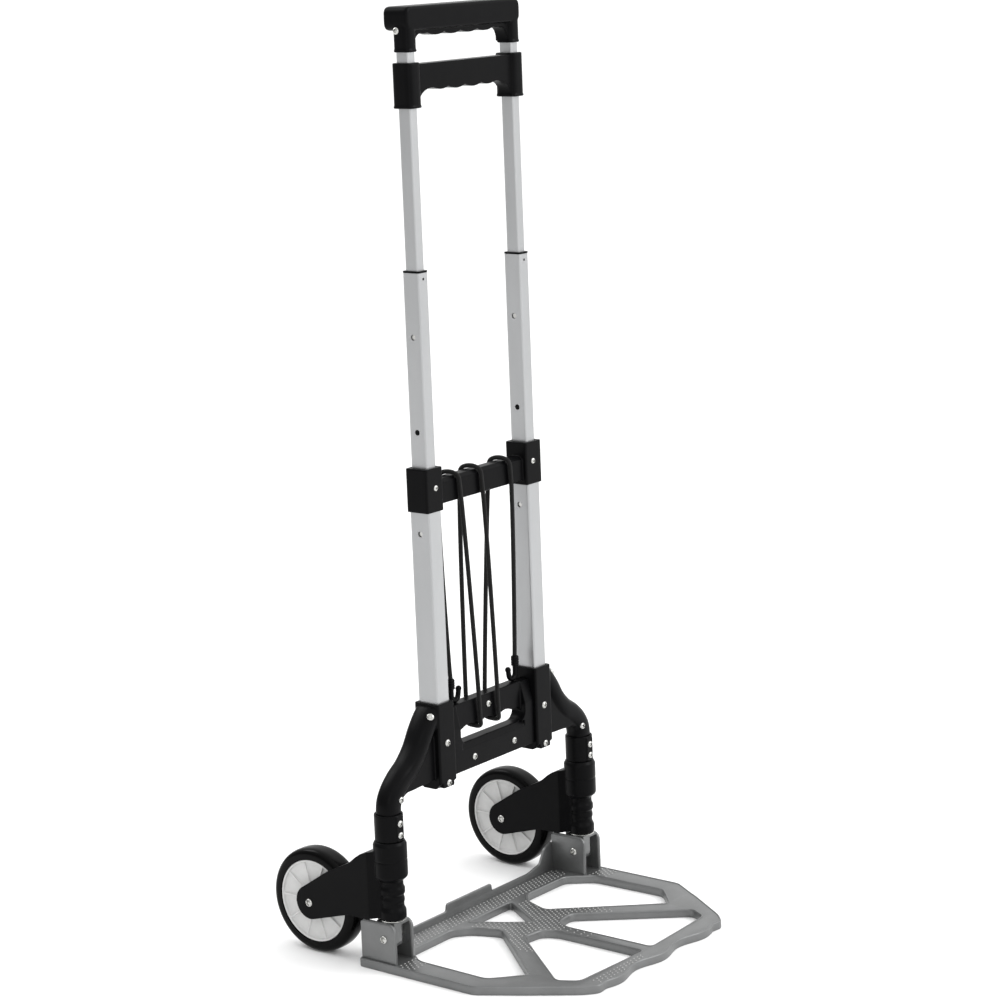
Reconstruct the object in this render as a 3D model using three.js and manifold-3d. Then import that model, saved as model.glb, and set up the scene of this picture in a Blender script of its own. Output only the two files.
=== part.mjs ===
// Folding two-wheel hand truck: telescopic tube frame, drop-down toe plate, swing-in wheels.
// Millimetres, +Z up. The toe plate points to -Y, the wheels stand behind it at +Y.
import * as THREE from "three";
import { mergeVertices } from "three/addons/utils/BufferGeometryUtils.js";
import Module from "manifold-3d";

const wasm = await Module();
wasm.setup();

// ---------------------------------------------------------------- driving dimensions
const GAP = 0.3; // left between touching pieces
const TUBE_X = 93.6; // centre line of each telescopic tube
const RIBS = 10; // on each face of a wheel hub
const COLUMN_X = 184.7; // centre line of each wheel column
const OUTER = { w: 23, d: 29, r: 3, wall: 1.5, bottom: 206, top: 570 };
const MIDDLE = { w: 17, d: 23.4, r: 2.4, wall: 1.2, bottom: 475, top: 802 };
const INNER = { w: 13, d: 17.4, r: 2, wall: 1.2, bottom: 705, top: 1088 };
const LOCK = { outerHole: 500.6, middleHole: 728.7, spareHole: 619, holeR: 3.4, pinR: 2.8 };
const LINER_HOLE_Z = 795; // small hole in the front of each middle tube
const SCREW = { z: 281, r: 2.4, headR: 4.3, headThick: 2 };
const COLLAR = { w: 30.2, d: 30.8, bottom: 526.2, top: 577.5, barLow: 532, barHigh: 561, barHalf: 10 };
const HOUSING = { w: 30.4, d: 35.5, bottom: 196.4, top: 299.4 };
const BRIDGE = { front: -13, back: 8, low: 206.5, sill: 239, gripLow: 254, gripTop: 287, post: 272, endX: 78.1 };
const GRIP = { front: -6, back: 9, windowHalf: 62, lobePitch: 31, lobeDepth: 4 };
const COLUMN = { r: 11, wall: 1.3, bottom: 62, top: 196 };
const SLEEVE = { r: 17, bottom: 156, top: 188 };
const BARREL = { r: 19.8, low: 61.2, shoulder: 113, top: 155.7, ribR: 16, grooveR: 13.8 };
const RING = { r: 15.5, thick: 1.5, z: 59.3 };
const HINGE = { y: 1, z: 38.5, pinR: 4, boreR: 4.3 };
const FOOT = { half: 13, front: -12, back: 14, low: 25, top: 59 };
const EAR = { outer: 202, inner: 167.4, thick: 4, front: -14, back: 36, top: 56.5, corner: 8 };
const PLATE = { thick: 10, skin: 3.5, flange: 3, side: 206, back: 38.5, nose: -248, wave: 4.5, wavePitch: 86 };
const BACK_LIP = { thick: 3, top: 17.5, tabHalf: 43, tabTop: 27 };
const WHEEL = { y: 112.4, r: 63.5, half: 14, rimR: 50, axleR: 4, bushR: 7, hubR: 13 };
const FORK = { in: 15.9, out: 20.3, endR: 20.5, root: 5 };
const RELEASE = { w: 20, d: 25, bottom: 986.3, top: 1036.9, barLow: 1007, barTop: 1031.7, barHalf: 9 };
const HANDLE = { w: 17.6, d: 21.4, bottom: 1048.4, top: 1099, under: 1068, endX: 103, head: 1072 };
const CORD = { r: 2.7, sides: 8 };

// The frame's own reference: under the middle of the whole truck, on the floor.
const PLATE_NOSE_Y = PLATE.nose - PLATE.wave;
const CENTRE_Y = (PLATE_NOSE_Y + WHEEL.y + WHEEL.r) / 2;

// ---------------------------------------------------------------- materials
const finish = (color, roughness, metalness) => new THREE.MeshStandardMaterial({ color, roughness, metalness });
const ANODISED = finish(0xb9bbbd, 0.38, 0.85);
const BLACK_PLASTIC = finish(0x191919, 0.55, 0);
const PLATE_METAL = finish(0x858687, 0.5, 0.8);
const BRIGHT_STEEL = finish(0xd2d2d0, 0.25, 1);
const DARK_STEEL = finish(0x55575a, 0.45, 0.9);
const WHITE_PLASTIC = finish(0xd9d9d6, 0.5, 0);
const TYRE_RUBBER = finish(0x0d0d0e, 0.35, 0);
const CORD_BLACK = finish(0x101010, 0.8, 0);
const NYLON = finish(0x2a2a2c, 0.6, 0);

// ---------------------------------------------------------------- shape helpers
const group = new THREE.Group();

function solidOf(geometry) {
  const bare = geometry.clone();
  bare.deleteAttribute("normal");
  bare.deleteAttribute("uv");
  const merged = mergeVertices(bare, 1e-4);
  const mesh = new wasm.Mesh({
    numProp: 3,
    vertProperties: new Float32Array(merged.attributes.position.array),
    triVerts: new Uint32Array(merged.index.array),
  });
  return new wasm.Manifold(mesh);
}

function geometryOf(solid) {
  const mesh = solid.getMesh();
  const geometry = new THREE.BufferGeometry();
  geometry.setAttribute("position", new THREE.BufferAttribute(new Float32Array(mesh.vertProperties), 3));
  geometry.setIndex(new THREE.BufferAttribute(new Uint32Array(mesh.triVerts), 1));
  geometry.computeVertexNormals();
  return geometry;
}

const joined = (first, ...rest) => rest.reduce((whole, piece) => whole.add(piece), first);
const cut = (first, ...rest) => rest.reduce((whole, piece) => whole.subtract(piece), first);

// A shape drawn in two axes, extruded along the third from `from` to `to`.
const AXIS_FRAMES = {
  x: (from) => new THREE.Matrix4().set(0, 0, 1, from, 1, 0, 0, 0, 0, 1, 0, 0, 0, 0, 0, 1),
  y: (from, to) => new THREE.Matrix4().set(1, 0, 0, 0, 0, 0, -1, to, 0, 1, 0, 0, 0, 0, 0, 1),
  z: (from) => new THREE.Matrix4().makeTranslation(0, 0, from),
};

function extruded(axis, shape, from, to, curveSegments = 2) {
  const settings = { depth: to - from, bevelEnabled: false, curveSegments };
  return solidOf(new THREE.ExtrudeGeometry(shape, settings).applyMatrix4(AXIS_FRAMES[axis](from, to)));
}

function box(x, y, z) {
  const geometry = new THREE.BoxGeometry(x[1] - x[0], y[1] - y[0], z[1] - z[0]);
  geometry.translate((x[0] + x[1]) / 2, (y[0] + y[1]) / 2, (z[0] + z[1]) / 2);
  return solidOf(geometry);
}

function circle(u, v, r) {
  const shape = new THREE.Shape();
  shape.absarc(u, v, r, 0, 2 * Math.PI, false);
  return shape;
}

// A round bar along an axis, through the point (u, v) of the plane it crosses.
const rod = (axis, u, v, r, from, to, sides = 20) => extruded(axis, circle(u, v, r), from, to, sides / 2);

function roundedRect(u, v, w, h, r) {
  const [x, y] = [w / 2 - r, h / 2 - r];
  const shape = new THREE.Shape();
  shape.absarc(u + x, v + y, r, 0, Math.PI / 2, false);
  shape.absarc(u - x, v + y, r, Math.PI / 2, Math.PI, false);
  shape.absarc(u - x, v - y, r, Math.PI, 1.5 * Math.PI, false);
  shape.absarc(u + x, v - y, r, 1.5 * Math.PI, 2 * Math.PI, false);
  shape.closePath();
  return shape;
}

// A polygon whose corners are rounded by `r`, or less where a side is too short for it.
function roundedPolygon(points, r) {
  const corner = (i) => new THREE.Vector2(...points[(i + points.length) % points.length]);
  const shape = new THREE.Shape();
  points.forEach((_, i) => {
    const [before, here, after] = [corner(i - 1), corner(i), corner(i + 1)];
    const reach = Math.min(r, before.distanceTo(here) / 2.1, after.distanceTo(here) / 2.1);
    const start = here.clone().lerp(before, reach / before.distanceTo(here));
    const end = here.clone().lerp(after, reach / after.distanceTo(here));
    if (i === 0) shape.moveTo(start.x, start.y);
    else shape.lineTo(start.x, start.y);
    shape.quadraticCurveTo(here.x, here.y, end.x, end.y);
  });
  shape.closePath();
  return shape;
}

// The polygon moved inwards by `d`, or outwards where d is negative.
function offsetPolygon(points, d) {
  const n = points.length;
  const turn = Math.sign(points.reduce((sum, [x, y], i) => {
    const [nx, ny] = points[(i + 1) % n];
    return sum + x * ny - nx * y;
  }, 0));
  return points.map((point, i) => {
    const [before, here, after] = [points[(i + n - 1) % n], point, points[(i + 1) % n]]
      .map((p) => new THREE.Vector2(...p));
    const inward = (a, b) => {
      const along = b.clone().sub(a).normalize();
      return new THREE.Vector2(-along.y, along.x).multiplyScalar(turn);
    };
    const [n1, n2] = [inward(before, here), inward(here, after)];
    const mitre = n1.clone().add(n2).multiplyScalar(d / (1 + n1.dot(n2)));
    return here.add(mitre).toArray();
  });
}

const mirrored = (points) => points.map(([x, y]) => [-x, y]).reverse();

// ---------------------------------------------------------------- adding pieces
function add(name, material, solid, scaleX = 1) {
  const mesh = new THREE.Mesh(geometryOf(solid), material);
  mesh.name = name;
  mesh.scale.x = scaleX;
  group.add(mesh);
}

// A piece drawn on the +X side and its mirror image on the -X side.
function addMirrored(name, material, solid) {
  add(`${name}_right`, material, solid);
  add(`${name}_left`, material, solid, -1);
}

// The same piece, not mirrored, at x = +centre and x = -centre. `build` gets the centre line.
function addTwice(name, material, centre, build) {
  add(`${name}_right`, material, build(centre));
  add(`${name}_left`, material, build(-centre));
}

// ---------------------------------------------------------------- telescopic tubes
function tubeSection(x, size, grow = 0) {
  return roundedRect(x, 0, size.w + 2 * grow, size.d + 2 * grow, Math.max(size.r + grow, 0.5));
}

function plainTube(x, size) {
  const bore = extruded("z", tubeSection(x, size, -size.wall), size.bottom - 1, size.top + 1);
  return cut(extruded("z", tubeSection(x, size), size.bottom, size.top), bore);
}

// A hole through the tube wall that faces -X.
const sideHole = (x, z, r = LOCK.holeR) => rod("x", 0, z, r, x - 20, x);

function outerTube(x) {
  const screwHole = rod("x", 0, SCREW.z, SCREW.r + GAP, x < 0 ? x : x - 20, x < 0 ? x + 20 : x, 12);
  return cut(plainTube(x, OUTER), sideHole(x, LOCK.outerHole), screwHole);
}

function middleTube(x) {
  const linerHole = rod("y", x, LINER_HOLE_Z, 1.6, -20, 0, 12);
  const lockHoles = [LOCK.middleHole, LOCK.spareHole, LOCK.outerHole].map((z) => sideHole(x, z));
  return cut(plainTube(x, MIDDLE), ...lockHoles, linerHole);
}

function innerTube(x) {
  const slot = box([x - 20, x + 20], [-2.2, 2.2], [1003, 1023]);
  return cut(plainTube(x, INNER), sideHole(x, LOCK.middleHole, LOCK.pinR + GAP), slot);
}

// A slider at a tube's lower end: a wide foot that runs in the bigger tube, and a plug up inside its own.
function glide(x, tube, footWide, footLow, plugTop, pinZ) {
  const foot = roundedRect(x, 0, footWide.w, footWide.d, footWide.r);
  const lower = extruded("z", foot, footLow, tube.bottom - GAP);
  const plug = extruded("z", tubeSection(x, tube, -tube.wall - GAP), tube.bottom - GAP - 0.5, plugTop);
  const bore = rod("x", 0, pinZ, LOCK.pinR + GAP, x - 20, x + 4);
  return cut(joined(lower, plug), bore);
}

function lockPin(x, tipOffset, z) {
  return rod("x", 0, z, LOCK.pinR, x - tipOffset, x - 0.5);
}

addTwice("outer_tube", ANODISED, TUBE_X, outerTube);
addTwice("middle_tube", ANODISED, TUBE_X, middleTube);
addTwice("inner_tube", ANODISED, TUBE_X, innerTube);
const MIDDLE_FOOT = { w: OUTER.w - 2 * OUTER.wall - 0.7, d: OUTER.d - 2 * OUTER.wall - 0.7, r: 1.5 };
const INNER_FOOT = { w: MIDDLE.w - 2 * MIDDLE.wall - 0.7, d: MIDDLE.d - 2 * MIDDLE.wall - 0.7, r: 1.2 };
addTwice("middle_glide", NYLON, TUBE_X, (x) => glide(x, MIDDLE, MIDDLE_FOOT, 453, 508, LOCK.outerHole));
addTwice("inner_glide", NYLON, TUBE_X, (x) => glide(x, INNER, INNER_FOOT, 690, 738, LOCK.middleHole));
const pinReach = (tube) => tube.w / 2 - tube.wall - GAP; // a pin's tip stops just inside the wall of `tube`
addTwice("middle_lock_pin", BRIGHT_STEEL, TUBE_X, (x) => lockPin(x, pinReach(OUTER), LOCK.outerHole));
addTwice("inner_lock_pin", BRIGHT_STEEL, TUBE_X, (x) => lockPin(x, pinReach(MIDDLE), LOCK.middleHole));
addTwice("middle_cap", BLACK_PLASTIC, TUBE_X, (x) => {
  const [low, high] = [MIDDLE.top + GAP, MIDDLE.top + 2.3];
  const mouth = extruded("z", tubeSection(x, INNER, GAP), low - 1, high + 1);
  return cut(extruded("z", tubeSection(x, MIDDLE, 0.3), low, high), mouth);
});

// ---------------------------------------------------------------- middle crossbar and its collars
function middleCrossbar() {
  const bar = roundedPolygon([
    [-COLLAR.barHalf, COLLAR.barLow], [COLLAR.barHalf, COLLAR.barLow],
    [COLLAR.barHalf, COLLAR.barHigh - 4], [COLLAR.barHalf - 4, COLLAR.barHigh],
    [4 - COLLAR.barHalf, COLLAR.barHigh], [-COLLAR.barHalf, COLLAR.barHigh - 4],
  ], 1);
  let whole = extruded("x", bar, -TUBE_X, TUBE_X, 2);
  for (const x of [-TUBE_X, TUBE_X]) {
    const block = roundedRect(x, 0, COLLAR.w, COLLAR.d, 2);
    whole = whole.add(extruded("z", block, COLLAR.bottom, COLLAR.top, 2));
  }
  for (const x of [-TUBE_X, TUBE_X]) {
    const socket = extruded("z", tubeSection(x, OUTER, GAP), COLLAR.bottom - 1, OUTER.top + GAP);
    const mouth = extruded("z", tubeSection(x, MIDDLE, 0.5), OUTER.top, COLLAR.top + 1);
    whole = cut(whole, socket, mouth);
  }
  return whole;
}
add("middle_crossbar", BLACK_PLASTIC, middleCrossbar());

// ---------------------------------------------------------------- shoulders and lower bridge
function shoulder() {
  const inner = TUBE_X + HOUSING.w / 2 - 2;
  const arm = roundedPolygon([
    [inner, HOUSING.top], [113, HOUSING.top], [133.5, 269.3], [142, 254.2], [156, 239.4], [171, 230.1],
    [183, 220.5], [191.5, 208], [196.5, 195], [197, 190], [172.5, 190], [170.7, 201], [162, 206.5], [inner, 208.5],
  ], 5);
  const block = roundedRect(TUBE_X, 0, HOUSING.w, HOUSING.d, 2);
  const pocket = extruded("z", tubeSection(TUBE_X, OUTER, GAP), OUTER.bottom - GAP, HOUSING.top + 1);
  const columnBore = rod("z", COLUMN_X, 0, COLUMN.r + GAP, 170, COLUMN.top + GAP, 16);
  const screwBore = rod("x", 0, SCREW.z, SCREW.r + GAP, 60, TUBE_X, 12);
  return cut(
    joined(
      extruded("y", arm, -13, 13, 2),
      extruded("z", block, HOUSING.bottom, HOUSING.top, 2),
      rod("z", COLUMN_X, 0, 14, 178, 207),
    ),
    pocket, columnBore, screwBore,
  );
}
addMirrored("shoulder", BLACK_PLASTIC, shoulder());

// A screw through each housing's inner face, which ends inside the tube wall it holds.
const HOUSING_FACE = TUBE_X - HOUSING.w / 2;
addMirrored("shoulder_screw", BRIGHT_STEEL, joined(
  rod("x", 0, SCREW.z, SCREW.headR, HOUSING_FACE - GAP - SCREW.headThick, HOUSING_FACE - GAP, 12),
  rod("x", 0, SCREW.z, SCREW.r, HOUSING_FACE - 1, TUBE_X - OUTER.w / 2 + OUTER.wall - 0.2, 12),
));

// The carrying bridge: a sill bar below, a scalloped finger grip above, and the hand window between.
function lowerBridge() {
  const half = GRIP.windowHalf;
  const sill = new THREE.Shape();
  const ends = BRIDGE.endX;
  sill.moveTo(-ends, BRIDGE.low);
  sill.lineTo(ends, BRIDGE.low);
  sill.lineTo(ends, BRIDGE.post);
  sill.lineTo(half, BRIDGE.post);
  sill.lineTo(half, BRIDGE.sill + 10);
  sill.quadraticCurveTo(half, BRIDGE.sill, half - 10, BRIDGE.sill);
  sill.lineTo(10 - half, BRIDGE.sill);
  sill.quadraticCurveTo(-half, BRIDGE.sill, -half, BRIDGE.sill + 10);
  sill.lineTo(-half, BRIDGE.post);
  sill.lineTo(-ends, BRIDGE.post);
  sill.closePath();
  const grip = new THREE.Shape();
  const wave = (x) => 1 + Math.cos((2 * Math.PI * x) / GRIP.lobePitch);
  const lobes = (x) => BRIDGE.gripLow + (GRIP.lobeDepth / 2) * wave(x);
  grip.moveTo(-half - 1, BRIDGE.gripTop);
  for (let x = -half - 1; x <= half + 1; x += (half + 1) / 16) grip.lineTo(x, lobes(x));
  grip.lineTo(half + 1, BRIDGE.gripTop);
  grip.closePath();
  return joined(extruded("y", sill, BRIDGE.front, BRIDGE.back), extruded("y", grip, GRIP.front, GRIP.back));
}
add("lower_bridge", BLACK_PLASTIC, lowerBridge());

// ---------------------------------------------------------------- wheel columns and feet
addMirrored("column_tube", DARK_STEEL, cut(
  rod("z", COLUMN_X, 0, COLUMN.r, COLUMN.bottom, COLUMN.top, 16),
  rod("z", COLUMN_X, 0, COLUMN.r - COLUMN.wall, COLUMN.bottom - 1, COLUMN.top + 1, 16),
));
addMirrored("sleeve_collar", BLACK_PLASTIC, cut(
  rod("z", COLUMN_X, 0, SLEEVE.r, SLEEVE.bottom, SLEEVE.top),
  rod("z", COLUMN_X, 0, COLUMN.r + GAP, SLEEVE.bottom - 1, SLEEVE.top + 1, 16),
  rod("z", COLUMN_X, 0, 14 + GAP, 178 - GAP, SLEEVE.top + 1),
));
addMirrored("retaining_ring", BRIGHT_STEEL, cut(
  rod("z", COLUMN_X, 0, RING.r, RING.z, RING.z + RING.thick),
  rod("z", COLUMN_X, 0, 10, RING.z - 1, RING.z + RING.thick + 1),
));

function foot(x) {
  const body = box([x - FOOT.half, x + FOOT.half], [FOOT.front, FOOT.back], [FOOT.low, FOOT.top]);
  const roundUnder = cut(
    box([x - 20, x + 20], [-30, 30], [FOOT.low - 10, HINGE.z]),
    rod("x", HINGE.y, HINGE.z, HINGE.y - FOOT.front, x - 21, x + 21),
  );
  const slot = box([x, x + 20], [-30, -3], [FOOT.low - 10, FOOT.top - 4]);
  const stem = rod("z", x, 0, COLUMN.r - COLUMN.wall - GAP, FOOT.top - 1, 84, 16);
  return cut(joined(body, stem), roundUnder, slot, rod("x", HINGE.y, HINGE.z, HINGE.boreR, x - 20, x + 20));
}
addTwice("foot", PLATE_METAL, COLUMN_X, foot);

// ---------------------------------------------------------------- toe plate
const SIDE_HOLE = [[74, 4], [56, -12], [43, -47], [140, -162], [168, -136], [176, -127], [174, -28], [150, 3]];
const FRONT_HOLE = [[9, -228], [9, -104], [18, -88], [46, -84], [137, -199], [124, -222]];
const MIDDLE_HOLE = [[-42, 5], [0, -62], [42, 5]];
const NOSE_CORNERS = [[206, -132], [184, -167], [179, -176], [139, -236], [124, -250]];
const HOLES = [SIDE_HOLE, mirrored(SIDE_HOLE), FRONT_HOLE, mirrored(FRONT_HOLE), MIDDLE_HOLE];

function plateOutline() {
  const points = [[-PLATE.side, PLATE.back], ...mirrored(NOSE_CORNERS).reverse()];
  for (let x = -108; x <= 108; x += 18) {
    points.push([x, PLATE.nose - PLATE.wave * Math.cos((2 * Math.PI * x) / PLATE.wavePitch)]);
  }
  return [...points, ...[...NOSE_CORNERS].reverse(), [PLATE.side, PLATE.back]];
}

function backLip() {
  const profile = [
    [-EAR.inner, PLATE.skin], [EAR.inner, PLATE.skin], [EAR.inner, 46], [152, 40], [142, 23], [129, 20],
    [118, BACK_LIP.top], [BACK_LIP.tabHalf + 2, BACK_LIP.top], [BACK_LIP.tabHalf, BACK_LIP.tabTop],
    [-BACK_LIP.tabHalf, BACK_LIP.tabTop], [-BACK_LIP.tabHalf - 2, BACK_LIP.top], [-118, BACK_LIP.top],
    [-129, 20], [-142, 23], [-152, 40], [-EAR.inner, 46],
  ];
  return extruded("y", roundedPolygon(profile, 3), PLATE.back - BACK_LIP.thick, PLATE.back, 2);
}

function ear(x0) {
  const shape = new THREE.Shape();
  shape.moveTo(EAR.front, PLATE.skin);
  shape.lineTo(EAR.back, PLATE.skin);
  shape.lineTo(EAR.back, EAR.top - 3);
  shape.quadraticCurveTo(EAR.back, EAR.top, EAR.back - 3, EAR.top);
  shape.lineTo(EAR.front + EAR.corner, EAR.top);
  shape.absarc(EAR.front + EAR.corner, EAR.top - EAR.corner, EAR.corner, Math.PI / 2, Math.PI, false);
  shape.closePath();
  return extruded("x", shape, x0, x0 + EAR.thick, 4);
}

function toePlate() {
  const outline = plateOutline();
  const body = extruded("z", roundedPolygon(outline, 6), 0, PLATE.thick, 2);
  const pan = extruded("z", roundedPolygon(offsetPolygon(outline, PLATE.flange), 4), -1, PLATE.thick - PLATE.skin, 2);
  const islands = HOLES.map((hole) =>
    extruded("z", roundedPolygon(offsetPolygon(hole, -PLATE.flange), 9), -2, PLATE.thick, 2));
  const posts = [1, -1].map((side) =>
    box([side * 182 - 24, side * 182 + 24].sort((a, b) => a - b), [EAR.front, PLATE.back], [-2, PLATE.thick]));
  const openings = HOLES.map((hole) => extruded("z", roundedPolygon(hole, 7), -3, PLATE.thick + 5, 2));
  const pocket = cut(pan, ...islands, ...posts);
  const ears = [EAR.outer - EAR.thick, EAR.inner, -EAR.outer, -EAR.inner - EAR.thick].map(ear);
  const bores = [-COLUMN_X, COLUMN_X].map((x) => rod("x", HINGE.y, HINGE.z, HINGE.boreR, x - 30, x + 30));
  return cut(joined(cut(body, pocket, ...openings), backLip(), ...ears), ...bores);
}
add("toe_plate", PLATE_METAL, toePlate());

addTwice("hinge_pin", BRIGHT_STEEL, COLUMN_X, (x) => {
  const [low, high] = x > 0 ? [EAR.inner, EAR.outer] : [-EAR.outer, -EAR.inner];
  return joined(
    rod("x", HINGE.y, HINGE.z, HINGE.pinR, low - 1, high + 1),
    rod("x", HINGE.y, HINGE.z, 5.2, low - 2.3, low - GAP, 12),
    rod("x", HINGE.y, HINGE.z, 5.2, high + GAP, high + 2.3, 12),
  );
});

// ---------------------------------------------------------------- wheel brackets and wheels
function wheelBracket() {
  const profile = [
    [COLUMN.r + GAP, BARREL.low], [BARREL.ribR, BARREL.low], [BARREL.ribR, 72], [BARREL.grooveR, 77],
    [BARREL.grooveR, 86], [BARREL.ribR - 1, 90], [BARREL.ribR - 1, 98], [BARREL.grooveR, 102],
    [BARREL.grooveR, 108], [BARREL.r, BARREL.shoulder], [BARREL.r, BARREL.top - 4],
    [SLEEVE.r + 1, BARREL.top], [COLUMN.r + GAP, BARREL.top], [COLUMN.r + GAP, BARREL.low],
  ].map(([r, z]) => new THREE.Vector2(r, z));
  const barrel = solidOf(new THREE.LatheGeometry(profile, 20).rotateX(Math.PI / 2).translate(COLUMN_X, 0, 0));
  const web = new THREE.Shape();
  web.moveTo(FORK.root, 64);
  web.lineTo(50, 61);
  web.lineTo(WHEEL.y - 6, WHEEL.r - FORK.endR + 0.9);
  web.absarc(WHEEL.y, WHEEL.r, FORK.endR, 1.4 * Math.PI, 2.35 * Math.PI, false);
  web.lineTo(83, 107);
  web.lineTo(45, 128);
  web.lineTo(22, 141);
  web.lineTo(FORK.root, 141);
  web.closePath();
  const fork = extruded("x", web, COLUMN_X - FORK.out, COLUMN_X + FORK.out, 8);
  const tyreRoom = rod("x", WHEEL.y, WHEEL.r, WHEEL.r + 3, COLUMN_X - FORK.in, COLUMN_X + FORK.in, 32);
  const bore = rod("z", COLUMN_X, 0, COLUMN.r + GAP, 40, 180, 16);
  const axleBore = rod("x", WHEEL.y, WHEEL.r, WHEEL.axleR + GAP, COLUMN_X - 30, COLUMN_X + 30);
  return cut(joined(barrel, fork), tyreRoom, bore, axleBore);
}
addMirrored("wheel_bracket", BLACK_PLASTIC, wheelBracket());

function lathedOnAxle(profile, segments) {
  const points = profile.map(([r, u]) => new THREE.Vector2(r, u));
  const geometry = new THREE.LatheGeometry(points, segments).rotateZ(-Math.PI / 2);
  return solidOf(geometry.translate(COLUMN_X, WHEEL.y, WHEEL.r));
}

const { half, rimR } = WHEEL;
addMirrored("tyre", TYRE_RUBBER, lathedOnAxle([
  [rimR + GAP, -half + 2], [rimR + 4, -half], [rimR + 9, -half + 1], [WHEEL.r - 1.3, -half + 6], [WHEEL.r, 0],
  [WHEEL.r - 1.3, half - 6], [rimR + 9, half - 1], [rimR + 4, half], [rimR + GAP, half - 2], [rimR + GAP, -half + 2],
], 32));

function wheelHub() {
  const rim = lathedOnAxle([
    [rimR - 3, -half + 1], [rimR, -half + 1], [rimR, half - 1], [rimR - 3, half - 1], [rimR - 3, -half + 1]], 32);
  const disc = lathedOnAxle([
    [WHEEL.bushR + GAP, -2], [rimR - 1, -2], [rimR - 1, 2], [WHEEL.bushR + GAP, 2], [WHEEL.bushR + GAP, -2]], 32);
  const boss = lathedOnAxle([
    [WHEEL.bushR + GAP, -half], [WHEEL.hubR, -half], [WHEEL.hubR, half], [WHEEL.bushR + GAP, half],
    [WHEEL.bushR + GAP, -half]], 16);
  let whole = joined(rim, disc, boss);
  for (let i = 0; i < RIBS; i++) {
    const rib = new THREE.BoxGeometry(2 * half - 6, rimR - WHEEL.hubR, 2.4);
    rib.translate(0, (rimR + WHEEL.hubR) / 2 - 0.5, 0).rotateX((2 * Math.PI * i) / RIBS);
    whole = whole.add(solidOf(rib.translate(COLUMN_X, WHEEL.y, WHEEL.r)));
  }
  return whole;
}
addMirrored("wheel_hub", WHITE_PLASTIC, wheelHub());
addMirrored("wheel_bush", DARK_STEEL, lathedOnAxle([
  [WHEEL.axleR + GAP, -half - 1], [WHEEL.bushR, -half - 1], [WHEEL.bushR, half + 1], [WHEEL.axleR + GAP, half + 1],
  [WHEEL.axleR + GAP, -half - 1]], 16));

// The axle bolt's round head is on the -X side of each wheel, its dome nut on the +X side.
addTwice("axle_bolt", BRIGHT_STEEL, COLUMN_X, (x) => joined(
  rod("x", WHEEL.y, WHEEL.r, WHEEL.axleR, x - FORK.out - 1, x + FORK.out + 0.3),
  rod("x", WHEEL.y, WHEEL.r, 5.4, x - FORK.out - 2.8, x - FORK.out - GAP),
));
addTwice("axle_nut", BRIGHT_STEEL, COLUMN_X, (x) =>
  rod("x", WHEEL.y, WHEEL.r, 5.4, x + FORK.out + 0.6, x + FORK.out + 2.8));

// ---------------------------------------------------------------- handle and release bar
function uShape(endX, legInner, low, under, top, radius) {
  return roundedPolygon([
    [-endX, low], [-legInner, low], [-legInner + 4, under - 6], [-legInner + 12, under],
    [legInner - 12, under], [legInner - 4, under - 6], [legInner, low], [endX, low], [endX, top], [-endX, top],
  ], radius);
}

function topHandle() {
  const legInner = TUBE_X - HANDLE.w / 2;
  const outline = uShape(TUBE_X + HANDLE.w / 2, legInner, HANDLE.bottom, HANDLE.under, HANDLE.top, 5);
  const headMiddle = (HANDLE.top + HANDLE.head) / 2;
  const head = roundedRect(0, headMiddle, 2 * HANDLE.endX, HANDLE.top - HANDLE.head, 6);
  const rounded = extruded("y", head, -HANDLE.d / 2, HANDLE.d / 2 + 8, 3);
  const sockets = [-TUBE_X, TUBE_X].map((x) =>
    extruded("z", tubeSection(x, INNER, GAP), HANDLE.bottom - 1, INNER.top + GAP));
  return cut(joined(extruded("y", outline, -HANDLE.d / 2, HANDLE.d / 2, 2), rounded), ...sockets);
}
add("top_handle", BLACK_PLASTIC, topHandle());

function releaseBar() {
  const legInner = TUBE_X - RELEASE.w / 2;
  const outline = uShape(TUBE_X, legInner, RELEASE.barLow - 14, RELEASE.barLow, RELEASE.barTop, 4);
  let whole = extruded("y", outline, -RELEASE.barHalf, RELEASE.barHalf, 2);
  for (const x of [-TUBE_X, TUBE_X]) {
    const socket = roundedRect(x, 0, RELEASE.w, RELEASE.d, 5);
    whole = whole.add(extruded("z", socket, RELEASE.bottom, RELEASE.top, 3));
  }
  for (const x of [-TUBE_X, TUBE_X]) {
    const bore = extruded("z", tubeSection(x, INNER, 0.4), RELEASE.bottom - 5, RELEASE.top + 5);
    whole = cut(whole, bore, rod("x", 0, 1009, 2.2, x - 8.6, x + 8.6, 12));
  }
  return whole;
}
add("release_bar", BLACK_PLASTIC, releaseBar());
addTwice("release_rod", BRIGHT_STEEL, TUBE_X, (x) => joined(
  rod("z", x, 0, 2.5, 745, 1012, 12),
  rod("x", 0, 1009, 1.8, x - 8.3, x + 8.3, 12),
));

// ---------------------------------------------------------------- bungee cord and its hooks
// A smooth curve that spends the same number of steps between each two of its points.
class KnotSpacedCurve extends THREE.CatmullRomCurve3 {
  getPointAt(u, target) {
    return this.getPoint(u, target);
  }

  getTangentAt(u, target) {
    return this.getTangent(u, target);
  }
}

function roundBarAlong(route, r, stepsPerPoint) {
  const curve = new KnotSpacedCurve(route.map((point) => new THREE.Vector3(...point)), false, "centripetal");
  const section = new THREE.Shape();
  for (let i = 0; i < CORD.sides; i++) {
    const angle = (2 * Math.PI * (i + 0.5)) / CORD.sides;
    const [u, v] = [r * Math.cos(angle), r * Math.sin(angle)];
    if (i === 0) section.moveTo(u, v);
    else section.lineTo(u, v);
  }
  section.closePath();
  const steps = stepsPerPoint * (route.length - 1);
  return solidOf(new THREE.ExtrudeGeometry(section, { steps, extrudePath: curve, bevelEnabled: false }));
}

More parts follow.
